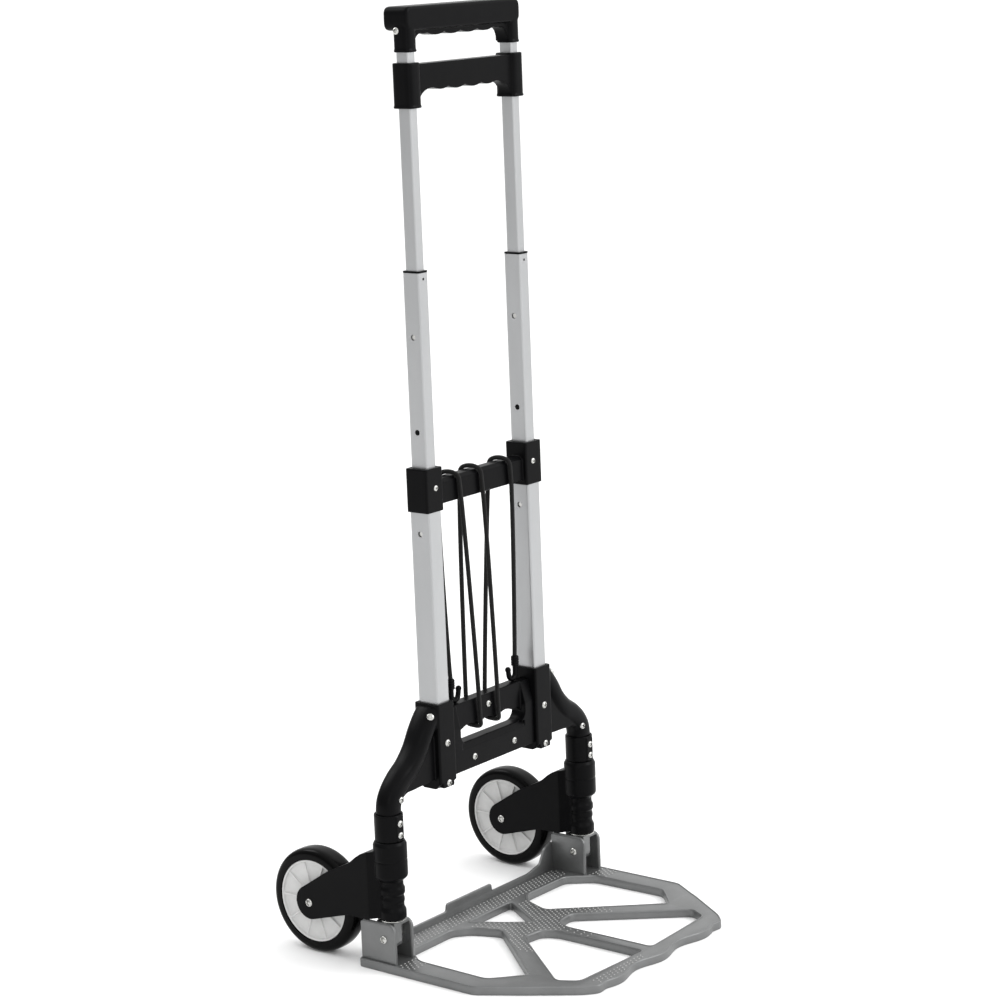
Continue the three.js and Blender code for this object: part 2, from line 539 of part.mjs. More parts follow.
// The lacing runs over the crossbar and under the grip, in front at -Y and behind at +Y.
const OVER = COLLAR.barHigh + CORD.r + 0.6;
const UNDER = BRIDGE.gripLow - CORD.r - 0.8;
const BAR_SIDE = COLLAR.barHalf + CORD.r + 0.8;
const GRIP_FRONT = GRIP.front - CORD.r - 1;
const GRIP_BACK = GRIP.back + CORD.r + 1;
const HOOK_Y = (GRIP.front + GRIP.back) / 2;
const HOOK_TOP = 318;
const overBar = (x) => [
  [x - 4, BAR_SIDE, 546], [x - 2.5, BAR_SIDE - 1.5, OVER - 4], [x - 1, 5.5, OVER - 0.2], [x + 1, -5.5, OVER - 0.2],
  [x + 2.5, 1.5 - BAR_SIDE, OVER - 4], [x + 4, -BAR_SIDE, 546],
];
const underGrip = (x) => [
  [x, GRIP_FRONT, 263], [x + 0.5, GRIP_FRONT + 0.8, UNDER + 2], [x + 1, 1.5, UNDER],
  [x + 1.5, GRIP_BACK - 0.8, UNDER + 2], [x + 2, GRIP_BACK, 263],
];
const CORD_ROUTE = [
  [-64, HOOK_Y, HOOK_TOP + GAP], [-64, HOOK_Y + 1, HOOK_TOP + 14], ...overBar(-50), ...underGrip(-21),
  ...overBar(-9), ...underGrip(14), ...overBar(46), [63, HOOK_Y - 1, HOOK_TOP + 14], [63.5, HOOK_Y, HOOK_TOP + GAP],
];
add("bungee_cord", CORD_BLACK, roundBarAlong(CORD_ROUTE, CORD.r, 2));

// A J hook: the cord's crimp at its top, its bend resting on the grip's top edge.
const HOOK = { bend: 6.5, r: 2.7, x: 57.5, low: BRIDGE.gripTop + 3.2 };
const HOOK_ROUTE = [
  [HOOK.x + HOOK.bend, HOOK_Y, HOOK_TOP], [HOOK.x + HOOK.bend, HOOK_Y, HOOK.low + HOOK.bend],
  [HOOK.x + HOOK.bend * 0.7, HOOK_Y, HOOK.low + HOOK.bend * 0.3], [HOOK.x, HOOK_Y, HOOK.low],
  [HOOK.x - HOOK.bend * 0.7, HOOK_Y, HOOK.low + HOOK.bend * 0.3],
  [HOOK.x - HOOK.bend, HOOK_Y, HOOK.low + HOOK.bend], [HOOK.x - HOOK.bend - 1, HOOK_Y, HOOK.low + HOOK.bend + 6],
];
addMirrored("bungee_hook", BLACK_PLASTIC, joined(
  roundBarAlong(HOOK_ROUTE, HOOK.r, 2),
  rod("z", HOOK.x + HOOK.bend, HOOK_Y, 4, HOOK_TOP - 12, HOOK_TOP - 0.4, 12),
));

group.position.y = -CENTRE_Y;
export default group;
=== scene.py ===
"""Looks of a folding two-wheel hand truck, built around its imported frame.

Shapes are drawn in millimetres about the floor point between the wheel columns, +Z up, and are then put
into the frame's metres. The toe plate points to -Y and the wheels stand behind it at +Y.
"""

from __future__ import annotations

import logging
import math
from dataclasses import dataclass, field
from enum import Enum
from typing import Callable, Iterable, Sequence

import bmesh
import bpy
from mathutils import Matrix, Vector

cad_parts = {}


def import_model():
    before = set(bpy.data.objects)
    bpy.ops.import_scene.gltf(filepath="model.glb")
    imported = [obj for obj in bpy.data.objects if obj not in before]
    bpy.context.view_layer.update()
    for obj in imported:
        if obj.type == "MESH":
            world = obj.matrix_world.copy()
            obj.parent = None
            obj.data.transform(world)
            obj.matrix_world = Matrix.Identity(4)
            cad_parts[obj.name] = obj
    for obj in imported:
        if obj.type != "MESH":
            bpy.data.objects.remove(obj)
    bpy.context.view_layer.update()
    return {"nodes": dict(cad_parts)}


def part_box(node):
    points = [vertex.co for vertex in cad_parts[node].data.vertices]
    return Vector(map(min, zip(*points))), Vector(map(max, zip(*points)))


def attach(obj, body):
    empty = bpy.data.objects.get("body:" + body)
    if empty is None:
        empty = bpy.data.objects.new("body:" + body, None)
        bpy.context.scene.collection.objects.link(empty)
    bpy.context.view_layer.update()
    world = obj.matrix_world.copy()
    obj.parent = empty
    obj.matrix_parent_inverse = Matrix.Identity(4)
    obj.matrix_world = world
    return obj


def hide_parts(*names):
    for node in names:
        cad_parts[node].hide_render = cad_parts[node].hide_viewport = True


LOG = logging.getLogger("hand_truck")
MM = 0.001
TURN = 2 * math.pi
# How far the telescopic tubes and the wheel columns stand from the middle of the truck, in millimetres.
TUBE_X = 93.6
COLUMN_X = 184.7

Point2 = tuple[float, float]
Point3 = tuple[float, float, float]
Loop = list[Point2]


class Axis(Enum):
    """The axis that an outline is extruded or turned along."""

    X = "x"
    Y = "y"
    Z = "z"


class Side(Enum):
    """Which half of the truck a piece is on."""

    LEFT = -1
    RIGHT = 1

    @property
    def word(self) -> str:
        """The side's name, as the nodes use it."""
        return self.name.lower()


# ------------------------------------------------------------------ colours and nodes
def linear(hexcode: str) -> tuple[float, float, float, float]:
    """Turns an sRGB colour into linear light.

    Args:
        hexcode: six hex digits after a hash sign.

    Returns:
        Red, green, blue and alpha, from 0 to 1.
    """
    parts = [int(hexcode[i : i + 2], 16) / 255 for i in (1, 3, 5)]
    lit = [c / 12.92 if c <= 0.04045 else ((c + 0.055) / 1.055) ** 2.4 for c in parts]
    return (lit[0], lit[1], lit[2], 1.0)


def add_node(tree: bpy.types.NodeTree, kind: str, settings: dict | None = None,
             links: dict | None = None) -> bpy.types.Node:
    """Adds one node.

    Args:
        tree: the node tree it goes into.
        kind: the node's type name.
        settings: property names, or input names or numbers, with their values.
        links: input names or numbers, with the output socket that feeds each.

    Returns:
        The new node.
    """
    made = tree.nodes.new(kind)
    for name, value in (settings or {}).items():
        if isinstance(name, str) and hasattr(made, name):
            setattr(made, name, value)
        else:
            made.inputs[name].default_value = value
    for name, socket in (links or {}).items():
        tree.links.new(socket, made.inputs[name])
    return made


def per_mm(size: float) -> float:
    """The texture scale, per metre, that gives features of that size in millimetres."""
    return 1 / (size * MM)


@dataclass(frozen=True)
class Finish:
    """A surface with a slow colour drift and a fine grain, both at real sizes in millimetres.

    Attributes:
        name: the material's name.
        colour: its main colour, as an sRGB hex value.
        drift_colour: the colour that it drifts towards.
        metallic: 1 for bare metal, and less under lacquer or an oxide.
        roughness: its mean roughness.
        roughness_spread: how far the grain moves the roughness either way.
        drift: the size of the colour's patches along X, Y and Z.
        grain: the size of the grain along X, Y and Z.
        grain_depth: how deep the grain is.
        specular: the specular level.
        sheen: the weight of a fabric's soft sheen.
    """

    name: str
    colour: str
    drift_colour: str
    metallic: float
    roughness: float
    roughness_spread: float
    drift: Point3
    grain: Point3
    grain_depth: float
    specular: float = 0.5
    sheen: float = 0.0

    def make(self) -> bpy.types.Material:
        """Builds the material.

        Returns:
            The material, with its colour, roughness and bump from nodes.
        """
        material = bpy.data.materials.new(self.name)
        material.use_nodes = True
        tree = material.node_tree
        tree.nodes.clear()
        place = add_node(tree, "ShaderNodeTexCoord").outputs["Object"]
        drift = self._noise(tree, place, self.drift, 3.0)
        grain = self._noise(tree, place, self.grain, 2.0)
        colour = add_node(
            tree,
            "ShaderNodeMix",
            {"data_type": "RGBA", 6: linear(self.colour), 7: linear(self.drift_colour)},
            {0: drift},
        )
        low, high = self.roughness - self.roughness_spread, self.roughness + self.roughness_spread
        rough = add_node(tree, "ShaderNodeMapRange", {3: low, 4: high}, {0: grain})
        bump = self.relief(tree, grain)
        shader = add_node(
            tree,
            "ShaderNodeBsdfPrincipled",
            {"Metallic": self.metallic, "Specular IOR Level": self.specular, "Sheen Weight": self.sheen},
            {"Base Color": colour.outputs[2], "Roughness": rough.outputs[0], "Normal": bump},
        )
        add_node(tree, "ShaderNodeOutputMaterial", {}, {"Surface": shader.outputs[0]})
        return material

    def relief(self, tree: bpy.types.NodeTree, grain: bpy.types.NodeSocket) -> bpy.types.NodeSocket:
        """The bump that the grain gives."""
        settings = {"Strength": 0.6, "Distance": self.grain_depth * MM}
        return add_node(tree, "ShaderNodeBump", settings, {"Height": grain}).outputs[0]

    @staticmethod
    def _noise(tree: bpy.types.NodeTree, place: bpy.types.NodeSocket, size: Point3,
               detail: float) -> bpy.types.NodeSocket:
        """Noise whose features have that size in millimetres along X, Y and Z.

        Args:
            tree: the material's nodes.
            place: where on the surface.
            size: the features' size.
            detail: how many finer levels are added.

        Returns:
            The noise, from 0 to 1.
        """
        scale = tuple(per_mm(s) for s in size)
        mapped = add_node(tree, "ShaderNodeMapping", {"Scale": scale}, {"Vector": place})
        settings = {"Scale": 1.0, "Detail": detail}
        return add_node(tree, "ShaderNodeTexNoise", settings, {"Vector": mapped.outputs[0]}).outputs[0]


@dataclass(frozen=True)
class BraidedCord(Finish):
    """Elastic cord in a braided sleeve: two sets of strands cross over at a slant."""

    strand: float = 1.5

    def relief(self, tree: bpy.types.NodeTree, grain: bpy.types.NodeSocket) -> bpy.types.NodeSocket:
        """The bump of the crossing strands, over the cord's own length and girth in millimetres.

        Args:
            tree: the material's nodes.
            grain: the fine grain, which the strands hide.

        Returns:
            The bump.
        """
        uv = add_node(tree, "ShaderNodeUVMap", {"uv_map": "weave"}).outputs[0]
        strands = []
        for slant in (1.0, -1.0):
            turned = add_node(
                tree,
                "ShaderNodeMapping",
                {"Rotation": (0, 0, slant * math.pi / 4), "Scale": (1 / self.strand, 1 / self.strand, 1)},
                {"Vector": uv},
            )
            settings = {"wave_type": "BANDS", "Scale": 0.5, "Distortion": 0.0}
            strands.append(add_node(tree, "ShaderNodeTexWave", settings, {"Vector": turned.outputs[0]}).outputs[1])
        height = add_node(tree, "ShaderNodeMath", {"operation": "MAXIMUM"}, {0: strands[0], 1: strands[1]})
        settings = {"Strength": 0.8, "Distance": self.grain_depth * MM}
        return add_node(tree, "ShaderNodeBump", settings, {"Height": height.outputs[0]}).outputs[0]


class Finishes:
    """Every surface of the truck, made once."""

    # Anodised aluminium extrusion: fine die lines run along the tube and give it a satin streak.
    ANODISED = Finish("anodised_aluminium", "#aeafb0", "#a0a1a2", metallic=0.85, roughness=0.38,
                      roughness_spread=0.08, drift=(30, 30, 160), grain=(0.5, 0.5, 60), grain_depth=0.02)
    # Glass-filled nylon, injection moulded: near black, with a fine spark-eroded grain and a dull sheen.
    # Such grain is usually a few tenths of a millimetre. It is drawn at 0.9 mm, so that it shows.
    MOULDED = Finish("moulded_nylon", "#060607", "#0b0b0c", metallic=0.0, roughness=0.33,
                     roughness_spread=0.06, drift=(18, 18, 18), grain=(0.9, 0.9, 0.9), grain_depth=0.03,
                     specular=0.055)
    # Pressed aluminium sheet, shot and lacquered: mid grey with a soft cloudy sheen.
    PRESSED = Finish("pressed_aluminium", "#7a7b7b", "#686969", metallic=0.72, roughness=0.4,
                     roughness_spread=0.08, drift=(26, 26, 26), grain=(0.8, 0.8, 0.8), grain_depth=0.05)
    # The tread's studs are painted lighter than the plate round them: a painted highlight for the light that their
    # raised tops catch.
    PAINTED_TREAD_HIGHLIGHT = Finish("rubbed_aluminium", "#a3a3a2", "#8b8b8a", metallic=0.75, roughness=0.38,
                    roughness_spread=0.08, drift=(26, 26, 26), grain=(0.8, 0.8, 0.8), grain_depth=0.03)
    # Zinc-plated steel screws and pins: bright, with faint turning marks.
    PLATED = Finish("zinc_plated_steel", "#c9c9c6", "#a5a5a2", metallic=1.0, roughness=0.22,
                    roughness_spread=0.06, drift=(3, 3, 3), grain=(0.4, 0.4, 0.4), grain_depth=0.02)
    # Drawn mild steel: dark and dull, scratched along its length.
    DRAWN = Finish("drawn_steel", "#6a6c6f", "#55575a", metallic=1.0, roughness=0.42,
                   roughness_spread=0.08, drift=(12, 12, 40), grain=(0.5, 0.5, 20), grain_depth=0.03)
    # Polypropylene hub, injection moulded: milky off-white, faintly mottled.
    HUB = Finish("moulded_polypropylene", "#d2d2d1", "#c0c0bf", metallic=0.0, roughness=0.4,
                 roughness_spread=0.06, drift=(14, 14, 14), grain=(1.2, 1.2, 1.2), grain_depth=0.03)
    # Polyurethane tyre, cast and polished by its mould: near black with a clear gloss.
    TYRE = Finish("cast_polyurethane", "#030303", "#060606", metallic=0.0, roughness=0.2,
                  roughness_spread=0.05, drift=(20, 20, 20), grain=(1.5, 1.5, 1.5), grain_depth=0.02,
                  specular=0.07)
    # Acetal slider, moulded: dark, smooth and a little waxy.
    SLIDER = Finish("moulded_acetal", "#2a2a2c", "#232325", metallic=0.0, roughness=0.5,
                    roughness_spread=0.05, drift=(8, 8, 8), grain=(1, 1, 1), grain_depth=0.02)
    # Polyester sleeve braided over rubber strands: black, dull, with a fuzzy sheen. Its yarns are finer than
    # a millimetre as a rule, and are drawn 1.5 mm wide, so that they show.
    CORD = BraidedCord("braided_polyester", "#0c0c0c", "#141414", metallic=0.0, roughness=0.75,
                       roughness_spread=0.08, drift=(6, 6, 6), grain=(0.5, 0.5, 0.5), grain_depth=0.35,
                       specular=0.15, sheen=0.06)

    def __init__(self) -> None:
        """Starts with nothing made."""
        self._made: dict[str, bpy.types.Material] = {}

    def get(self, finish: Finish) -> bpy.types.Material:
        """The material of a finish, made on its first use.

        Args:
            finish: the finish.

        Returns:
            Its material.
        """
        if finish.name not in self._made:
            self._made[finish.name] = finish.make()
        return self._made[finish.name]


# ------------------------------------------------------------------ outlines, in millimetres
def arc(centre: Point2, r: float, start: float, end: float, steps: int) -> Loop:
    """Points along an arc, with its angles in degrees."""
    angles = [math.radians(start + (end - start) * i / steps) for i in range(steps + 1)]
    return [(centre[0] + r * math.cos(a), centre[1] + r * math.sin(a)) for a in angles]


def rounded(points: Sequence[Point2], r: float, steps: int = 5) -> Loop:
    """Rounds a polygon's corners.

    Args:
        points: the corners in order.
        r: how far back along each side the rounding starts, or less on a short side.
        steps: the points that each corner gets.

    Returns:
        The rounded outline.
    """
    made: Loop = []
    for i, corner in enumerate(points):
        here, before, after = Vector(corner), Vector(points[i - 1]), Vector(points[(i + 1) % len(points)])
        reach = min(r, (before - here).length / 2.1, (after - here).length / 2.1)
        start = here.lerp(before, reach / (before - here).length)
        end = here.lerp(after, reach / (after - here).length)
        for k in range(steps + 1):
            t = k / steps
            made.append(tuple(start * (1 - t) ** 2 + here * 2 * t * (1 - t) + end * t * t))
    return made


def rectangle(u: Point2, v: Point2, r: float = 0.0) -> Loop:
    """A rectangle from its two spans, with rounded corners if r is given."""
    corners = [(u[0], v[0]), (u[1], v[0]), (u[1], v[1]), (u[0], v[1])]
    return rounded(corners, r) if r else corners


def grown(points: Sequence[Point2], d: float) -> Loop:
    """Moves a polygon's sides outwards, or inwards where d is negative.

    Args:
        points: its corners in order.
        d: how far each side moves, outwards.

    Returns:
        The new corners.
    """
    n = len(points)
    area = sum(points[i][0] * points[(i + 1) % n][1] - points[(i + 1) % n][0] * points[i][1] for i in range(n))
    turn = 1 if area > 0 else -1
    made: Loop = []
    for i in range(n):
        before, here, after = (Vector(points[k % n]) for k in (i - 1, i, i + 1))
        n1, n2 = ((b - a).normalized() for a, b in ((before, here), (here, after)))
        n1, n2 = Vector((n1.y, -n1.x)) * turn, Vector((n2.y, -n2.x)) * turn
        made.append(tuple(here + (n1 + n2) * (d / (1 + n1.dot(n2)))))
    return made


def mirrored(points: Sequence[Point2]) -> Loop:
    """The outline's mirror image across its first coordinate, in the same turning sense."""
    return [(-u, v) for u, v in reversed(points)]


def inside(point: Point2, loop: Sequence[Point2]) -> bool:
    """Tests whether a point lies inside a closed outline.

    Args:
        point: the point.
        loop: the outline's corners.

    Returns:
        True if it is inside.
    """
    found = False
    for (u0, v0), (u1, v1) in zip(loop, [*loop[1:], loop[0]]):
        if (v0 > point[1]) != (v1 > point[1]) and point[0] < (u1 - u0) * (point[1] - v0) / (v1 - v0) + u0:
            found = not found
    return found


# ------------------------------------------------------------------ solids, in millimetres
def drop(thing: bpy.types.Object) -> None:
    """Removes an object that was only needed on the way."""
    bpy.data.objects.remove(thing)


def show(data: bpy.types.ID, name: str) -> bpy.types.Object:
    """Puts a mesh, curve, lamp or camera into the scene.

    Args:
        data: what the object shows.
        name: the object's name.

    Returns:
        The new object.
    """
    thing = bpy.data.objects.new(name, data)
    bpy.context.scene.collection.objects.link(thing)
    return thing


def baked(thing: bpy.types.Object) -> bpy.types.Object:
    """Replaces an object by a new one that has its modifiers, or its curve's surface, as plain mesh.

    Args:
        thing: the object, which is removed.

    Returns:
        The new object.
    """
    bpy.context.view_layer.update()
    graph = bpy.context.evaluated_depsgraph_get()
    mesh = bpy.data.meshes.new_from_object(thing.evaluated_get(graph))
    made = show(mesh, thing.name)
    drop(thing)
    return made


def tidy(mesh: bpy.types.Mesh, merge: float = 1e-4) -> None:
    """Merges points that lie on each other and turns every face outwards.

    Args:
        mesh: the mesh.
        merge: how near two points are to count as one.
    """
    work = bmesh.new()
    work.from_mesh(mesh)
    bmesh.ops.remove_doubles(work, verts=work.verts, dist=merge)
    bmesh.ops.recalc_face_normals(work, faces=work.faces)
    work.to_mesh(mesh)
    work.free()


def along(axis: Axis, middle: float) -> Matrix:
    """Stands an outline, drawn in X and Y, across an axis.

    Args:
        axis: the axis.
        middle: where on the axis.

    Returns:
        The matrix.
    """
    columns = {
        Axis.X: ((0, 1, 0), (0, 0, 1), (1, 0, 0)),
        Axis.Y: ((1, 0, 0), (0, 0, 1), (0, 1, 0)),
        Axis.Z: ((1, 0, 0), (0, 1, 0), (0, 0, 1)),
    }[axis]
    turned = Matrix(columns).transposed().to_4x4()
    return Matrix.Translation(Vector(columns[2]) * middle) @ turned


def prism(loops: Sequence[Loop], axis: Axis, low: float, high: float, edge: float = 0.0) -> bpy.types.Object:
    """Extrudes an outline with holes.

    Args:
        loops: the outer outline and then any holes, each in the two axes other than `axis`, in X, Y, Z order.
        axis: the axis it is extruded along.
        low: where it starts.
        high: where it ends.
        edge: the radius of its rounded edges. The outline keeps its size.

    Returns:
        A closed solid in millimetres.
    """
    curve = bpy.data.curves.new("outline", "CURVE")
    curve.dimensions = "2D"
    curve.fill_mode = "BOTH"
    for loop in loops:
        spline = curve.splines.new("POLY")
        spline.points.add(len(loop) - 1)
        for point, (u, v) in zip(spline.points, loop):
            point.co = (u, v, 0, 1)
        spline.use_cyclic_u = True
    curve.extrude = (high - low) / 2 - edge
    curve.bevel_depth = edge
    curve.bevel_resolution = 2
    curve.offset = -edge
    made = baked(show(curve, curve.name))
    made.data.transform(along(axis, (low + high) / 2))
    tidy(made.data, 1e-3)
    return made


def lathe(profile: Sequence[Point2], axis: Axis, centre: Point2, steps: int = 72) -> bpy.types.Object:
    """Turns a profile about an axis.

    Args:
        profile: radius and place along the axis. It starts and ends on the axis, or closes on itself.
        axis: the axis it turns about.
        centre: where the axis crosses the plane of the other two, in X, Y, Z order.
        steps: the facets round.

    Returns:
        A closed solid in millimetres.
    """
    closed = profile[0] == profile[-1]
    points = list(profile[:-1]) if closed else list(profile)
    work = bmesh.new()
    rings = []
    for r, height in points:
        count = 1 if r < 1e-6 else steps
        rings.append([work.verts.new((r * math.cos(TURN * i / steps), r * math.sin(TURN * i / steps), height))
                      for i in range(count)])
    pairs = list(zip(rings, rings[1:])) + ([(rings[-1], rings[0])] if closed else [])
    for below, above in pairs:
        for i in range(steps):
            corners = [below[i % len(below)], below[(i + 1) % len(below)],
                       above[(i + 1) % len(above)], above[i % len(above)]]
            unique = list(dict.fromkeys(corners))
            if len(unique) > 2:
                work.faces.new(unique)
    mesh = bpy.data.meshes.new("turned")
    work.to_mesh(mesh)
    work.free()
    mesh.transform(along(axis, 0) @ Matrix.Translation((centre[0], centre[1], 0)))
    tidy(mesh)
    return show(mesh, "turned")


def dome_profile(r: float, rise: float) -> Loop:
    """The profile of a dome, from its top out to its rim."""
    angles = [math.radians(d) for d in range(10, 91, 10)]
    return [(0, rise), *[(r * math.sin(a), rise * math.cos(a)) for a in angles]]


def rod(axis: Axis, centre: Point2, r: float, low: float, high: float, steps: int = 48) -> bpy.types.Object:
    """A round bar along an axis."""
    return lathe([(0, low), (r, low), (r, high), (0, high)], axis, centre, steps)


def spline(points: Sequence[Point3], per_gap: int) -> list[Vector]:
    """A smooth curve through points, spaced by the square roots of their distances.

    Args:
        points: the points it passes through.
        per_gap: the steps between each two of them.

    Returns:
        Points along the curve.
    """
    p = [Vector(q) for q in points]
    p = [p[0] * 2 - p[1], *p, p[-1] * 2 - p[-2]]
    made = []
    for i in range(1, len(p) - 2):
        knots = [0.0]
        for a, b in ((i - 1, i), (i, i + 1), (i + 1, i + 2)):
            knots.append(knots[-1] + math.sqrt((p[b] - p[a]).length))
        for k in range(per_gap):
            t = knots[1] + (knots[2] - knots[1]) * k / per_gap
            made.append(_on_spline(p[i - 1 : i + 3], knots, t))
    return [*made, p[-2]]


def _on_spline(p: Sequence[Vector], knots: Sequence[float], t: float) -> Vector:
    """One point of the curve from p[1] to p[2], by blending four points three times.

    Args:
        p: four points in order.
        knots: their places along the curve.
        t: the place that is wanted.

    Returns:
        The point.
    """
    level = list(p)
    for span in (1, 2):
        level = [a.lerp(b, (t - knots[j]) / (knots[j + span] - knots[j]))
                 for j, (a, b) in enumerate(zip(level, level[1:]))]
    return level[0].lerp(level[1], (t - knots[1]) / (knots[2] - knots[1]))


def sweep(path: Sequence[Vector], section: Callable[[float], Point2], sides: int = 16,
          power: float = 2.0) -> bpy.types.Object:
    """A bar along a path, with domed ends and a map of its length and girth in millimetres.

    Args:
        path: points along the middle.
        section: half the depth, along Y at the start, and half the height, at a share of the path's length.
        sides: the facets round.
        power: 2 for a round section, and more for a squarer one.

    Returns:
        A closed solid in millimetres.
    """
    lengths = [0.0]
    for a, b in zip(path, path[1:]):
        lengths.append(lengths[-1] + (b - a).length)
    work = bmesh.new()
    weave = work.loops.layers.uv.new("weave")
    side_way = Vector((0, 1, 0))
    rings = []
    for i, middle in enumerate(path):
        heading = (path[min(i + 1, len(path) - 1)] - path[max(i - 1, 0)]).normalized()
        side_way = (side_way - heading * side_way.dot(heading)).normalized()
        other = heading.cross(side_way)
        deep, high = section(lengths[i] / lengths[-1])
        rings.append([work.verts.new(middle + side_way * (deep * _squared(math.cos(TURN * k / sides), power))
                                     + other * (high * _squared(math.sin(TURN * k / sides), power)))
                      for k in range(sides)])
    girth = math.pi * sum(section(0.5))
    for i, (below, above) in enumerate(zip(rings, rings[1:])):
        for k in range(sides):
            face = work.faces.new([below[k], below[(k + 1) % sides], above[(k + 1) % sides], above[k]])
            spots = [(k, i), (k + 1, i), (k + 1, i + 1), (k, i + 1)]
            for corner, (turn, step) in zip(face.loops, spots):
                corner[weave].uv = (girth * turn / sides, lengths[step])
    for ring, at, near, share in ((rings[0], path[0], path[1], 0), (rings[-1], path[-1], path[-2], 1)):
        tip = work.verts.new(at + (at - near).normalized() * min(section(share)) * 0.5)
        for k in range(sides):
            work.faces.new([ring[k], ring[(k + 1) % sides], tip])
    mesh = bpy.data.meshes.new("swept")
    work.to_mesh(mesh)
    work.free()
    tidy(mesh)
    return show(mesh, "swept")


def _squared(wave: float, power: float) -> float:
    """A cosine or sine bent towards a square's."""
    return math.copysign(abs(wave) ** (2 / power), wave)


def bead(points: Sequence[Point3], r: float, closed: bool) -> bpy.types.Object:
    """A thin round bead along points, as a rolled edge has.

    Args:
        points: the points.
        r: the bead's radius.
        closed: whether it runs back to its start.

    Returns:
        A closed solid.
    """
    curve = bpy.data.curves.new("bead", "CURVE")
    curve.dimensions = "3D"
    spline_points = curve.splines.new("POLY")
    spline_points.points.add(len(points) - 1)
    for point, place in zip(spline_points.points, points):
        point.co = (*place, 1)
    spline_points.use_cyclic_u = closed
    curve.bevel_depth = r
    curve.bevel_resolution = 2
    curve.use_fill_caps = not closed
    made = baked(show(curve, curve.name))
    tidy(made.data)
    return made


def cut(first: bpy.types.Object, *others: bpy.types.Object) -> bpy.types.Object:
    """Takes solids away from the first one, and drops them.

    Args:
        first: the solid that is cut.
        *others: the solids that are taken away, in this order.

    Returns:
        What is left of the first solid.
    """
    for other in others:
        change = first.modifiers.new("cut", "BOOLEAN")
        change.operation = "DIFFERENCE"
        change.solver = "EXACT"
        change.object = other
        first = baked(first)
        drop(other)
    return first


def gathered(shells: Iterable[bpy.types.Object]) -> bpy.types.Object:
    """Several solids as one object, with nothing changed.

    Args:
        shells: the solids, which are removed.

    Returns:
        The one object.
    """
    work = bmesh.new()
    shells = list(shells)
    for shell in shells:
        work.from_mesh(shell.data)
    mesh = bpy.data.meshes.new("gathered")
    work.to_mesh(mesh)
    work.free()
    for shell in shells:
        drop(shell)
    return show(mesh, "gathered")


def melted(shells: Iterable[bpy.types.Object], grid: float = 0.9, rounding: int = 3,
           keep: float = 0.3) -> bpy.types.Object:
    """Runs overlapping solids together into one moulding, with soft edges and filled inner corners.

    Args:
        shells: the solids.
        grid: the size of the grid that they are remade on, in millimetres.
        rounding: how many smoothing passes soften the edges.
        keep: the share of the faces that stays afterwards.

    Returns:
        One closed solid.
    """
    thing = gathered(shells)
    remesh = thing.modifiers.new("grid", "REMESH")
    remesh.mode = "VOXEL"
    remesh.voxel_size = grid
    smooth = thing.modifiers.new("soften", "SMOOTH")
    smooth.factor = 0.5
    smooth.iterations = rounding
    fewer = thing.modifiers.new("fewer", "DECIMATE")
    fewer.ratio = keep
    return baked(thing)


# ------------------------------------------------------------------ placing pieces
@dataclass
class Bench:
    """Places finished solids in the frame and dresses them."""

    finishes: Finishes
    origin: Vector
    count: int = 0

    def to_frame(self, mesh: bpy.types.Mesh, side: Side = Side.RIGHT) -> None:
        """Puts a mesh drawn in millimetres into the frame.

        Args:
            mesh: the mesh.
            side: LEFT mirrors it.
        """
        mesh.transform(Matrix.Translation(self.origin) @ Matrix.Diagonal((side.value * MM, MM, MM, 1)))
        if side is Side.LEFT:
            mesh.flip_normals()

    def piece(self, solid: bpy.types.Object, name: str, body: str, finish: Finish, slot: str,
              replaces: Sequence[str] = (), side: Side = Side.RIGHT, crease: float = 35.0) -> bpy.types.Object:
        """Finishes a solid as a piece of the truck.

        Args:
            solid: the solid in millimetres, which becomes the piece.
            name: the piece's name.
            body: the body it rides on.
            finish: its surface.
            slot: the record's material slot. It is not used.
            replaces: the nodes it stands for.
            side: LEFT mirrors it.
            crease: edges sharper than this many degrees stay sharp.

        Returns:
            The placed piece.
        """
        self.to_frame(solid.data, side)
        solid.name = name
        solid.data.name = name
        shade(solid, crease)
        return self.dress(solid, body, finish, replaces)

    def dress(self, thing: bpy.types.Object, body: str, finish: Finish,
              replaces: Sequence[str] = ()) -> bpy.types.Object:
        """Gives a placed object its surface and body.

        Args:
            thing: the object.
            body: the body it rides on.
            finish: its surface.
            replaces: the nodes it stands for.

        Returns:
            The same object.
        """
        thing.data.materials.clear()
        thing.data.materials.append(self.finishes.get(finish))
        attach(thing, body)
        if replaces:
            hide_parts(*replaces)
        self.count += 1
        LOG.info("%s rides on %s", thing.name, body)
        return thing

    def keep(self, node: bpy.types.Object, finish: Finish, slot: str, edge: float) -> None:
        """Keeps a node of the frame, with softened edges and a better surface.

        Args:
            node: the node.
            finish: its surface.
            slot: the record's material slot. It is not used.
            edge: the width of its softened edges, in millimetres.
        """
        bevel = node.modifiers.new("edges", "BEVEL")
        bevel.width = edge * MM
        bevel.segments = 2
        bevel.limit_method = "ANGLE"
        bevel.angle_limit = math.radians(50)
        shade(node, 40.0)
        for holder in node.material_slots:
            holder.material = self.finishes.get(finish)
        self.count += 1
        LOG.info("%s is kept", node.name)


def shade(thing: bpy.types.Object, crease: float) -> None:
    """Shades an object smooth through a modifier.

    Args:
        thing: the object.
        crease: edges sharper than this many degrees stay sharp.
    """
    name = f"shade_{crease:g}"
    tree = bpy.data.node_groups.get(name) or shading_nodes(name, crease)
    thing.modifiers.new("shade", "NODES").node_group = tree


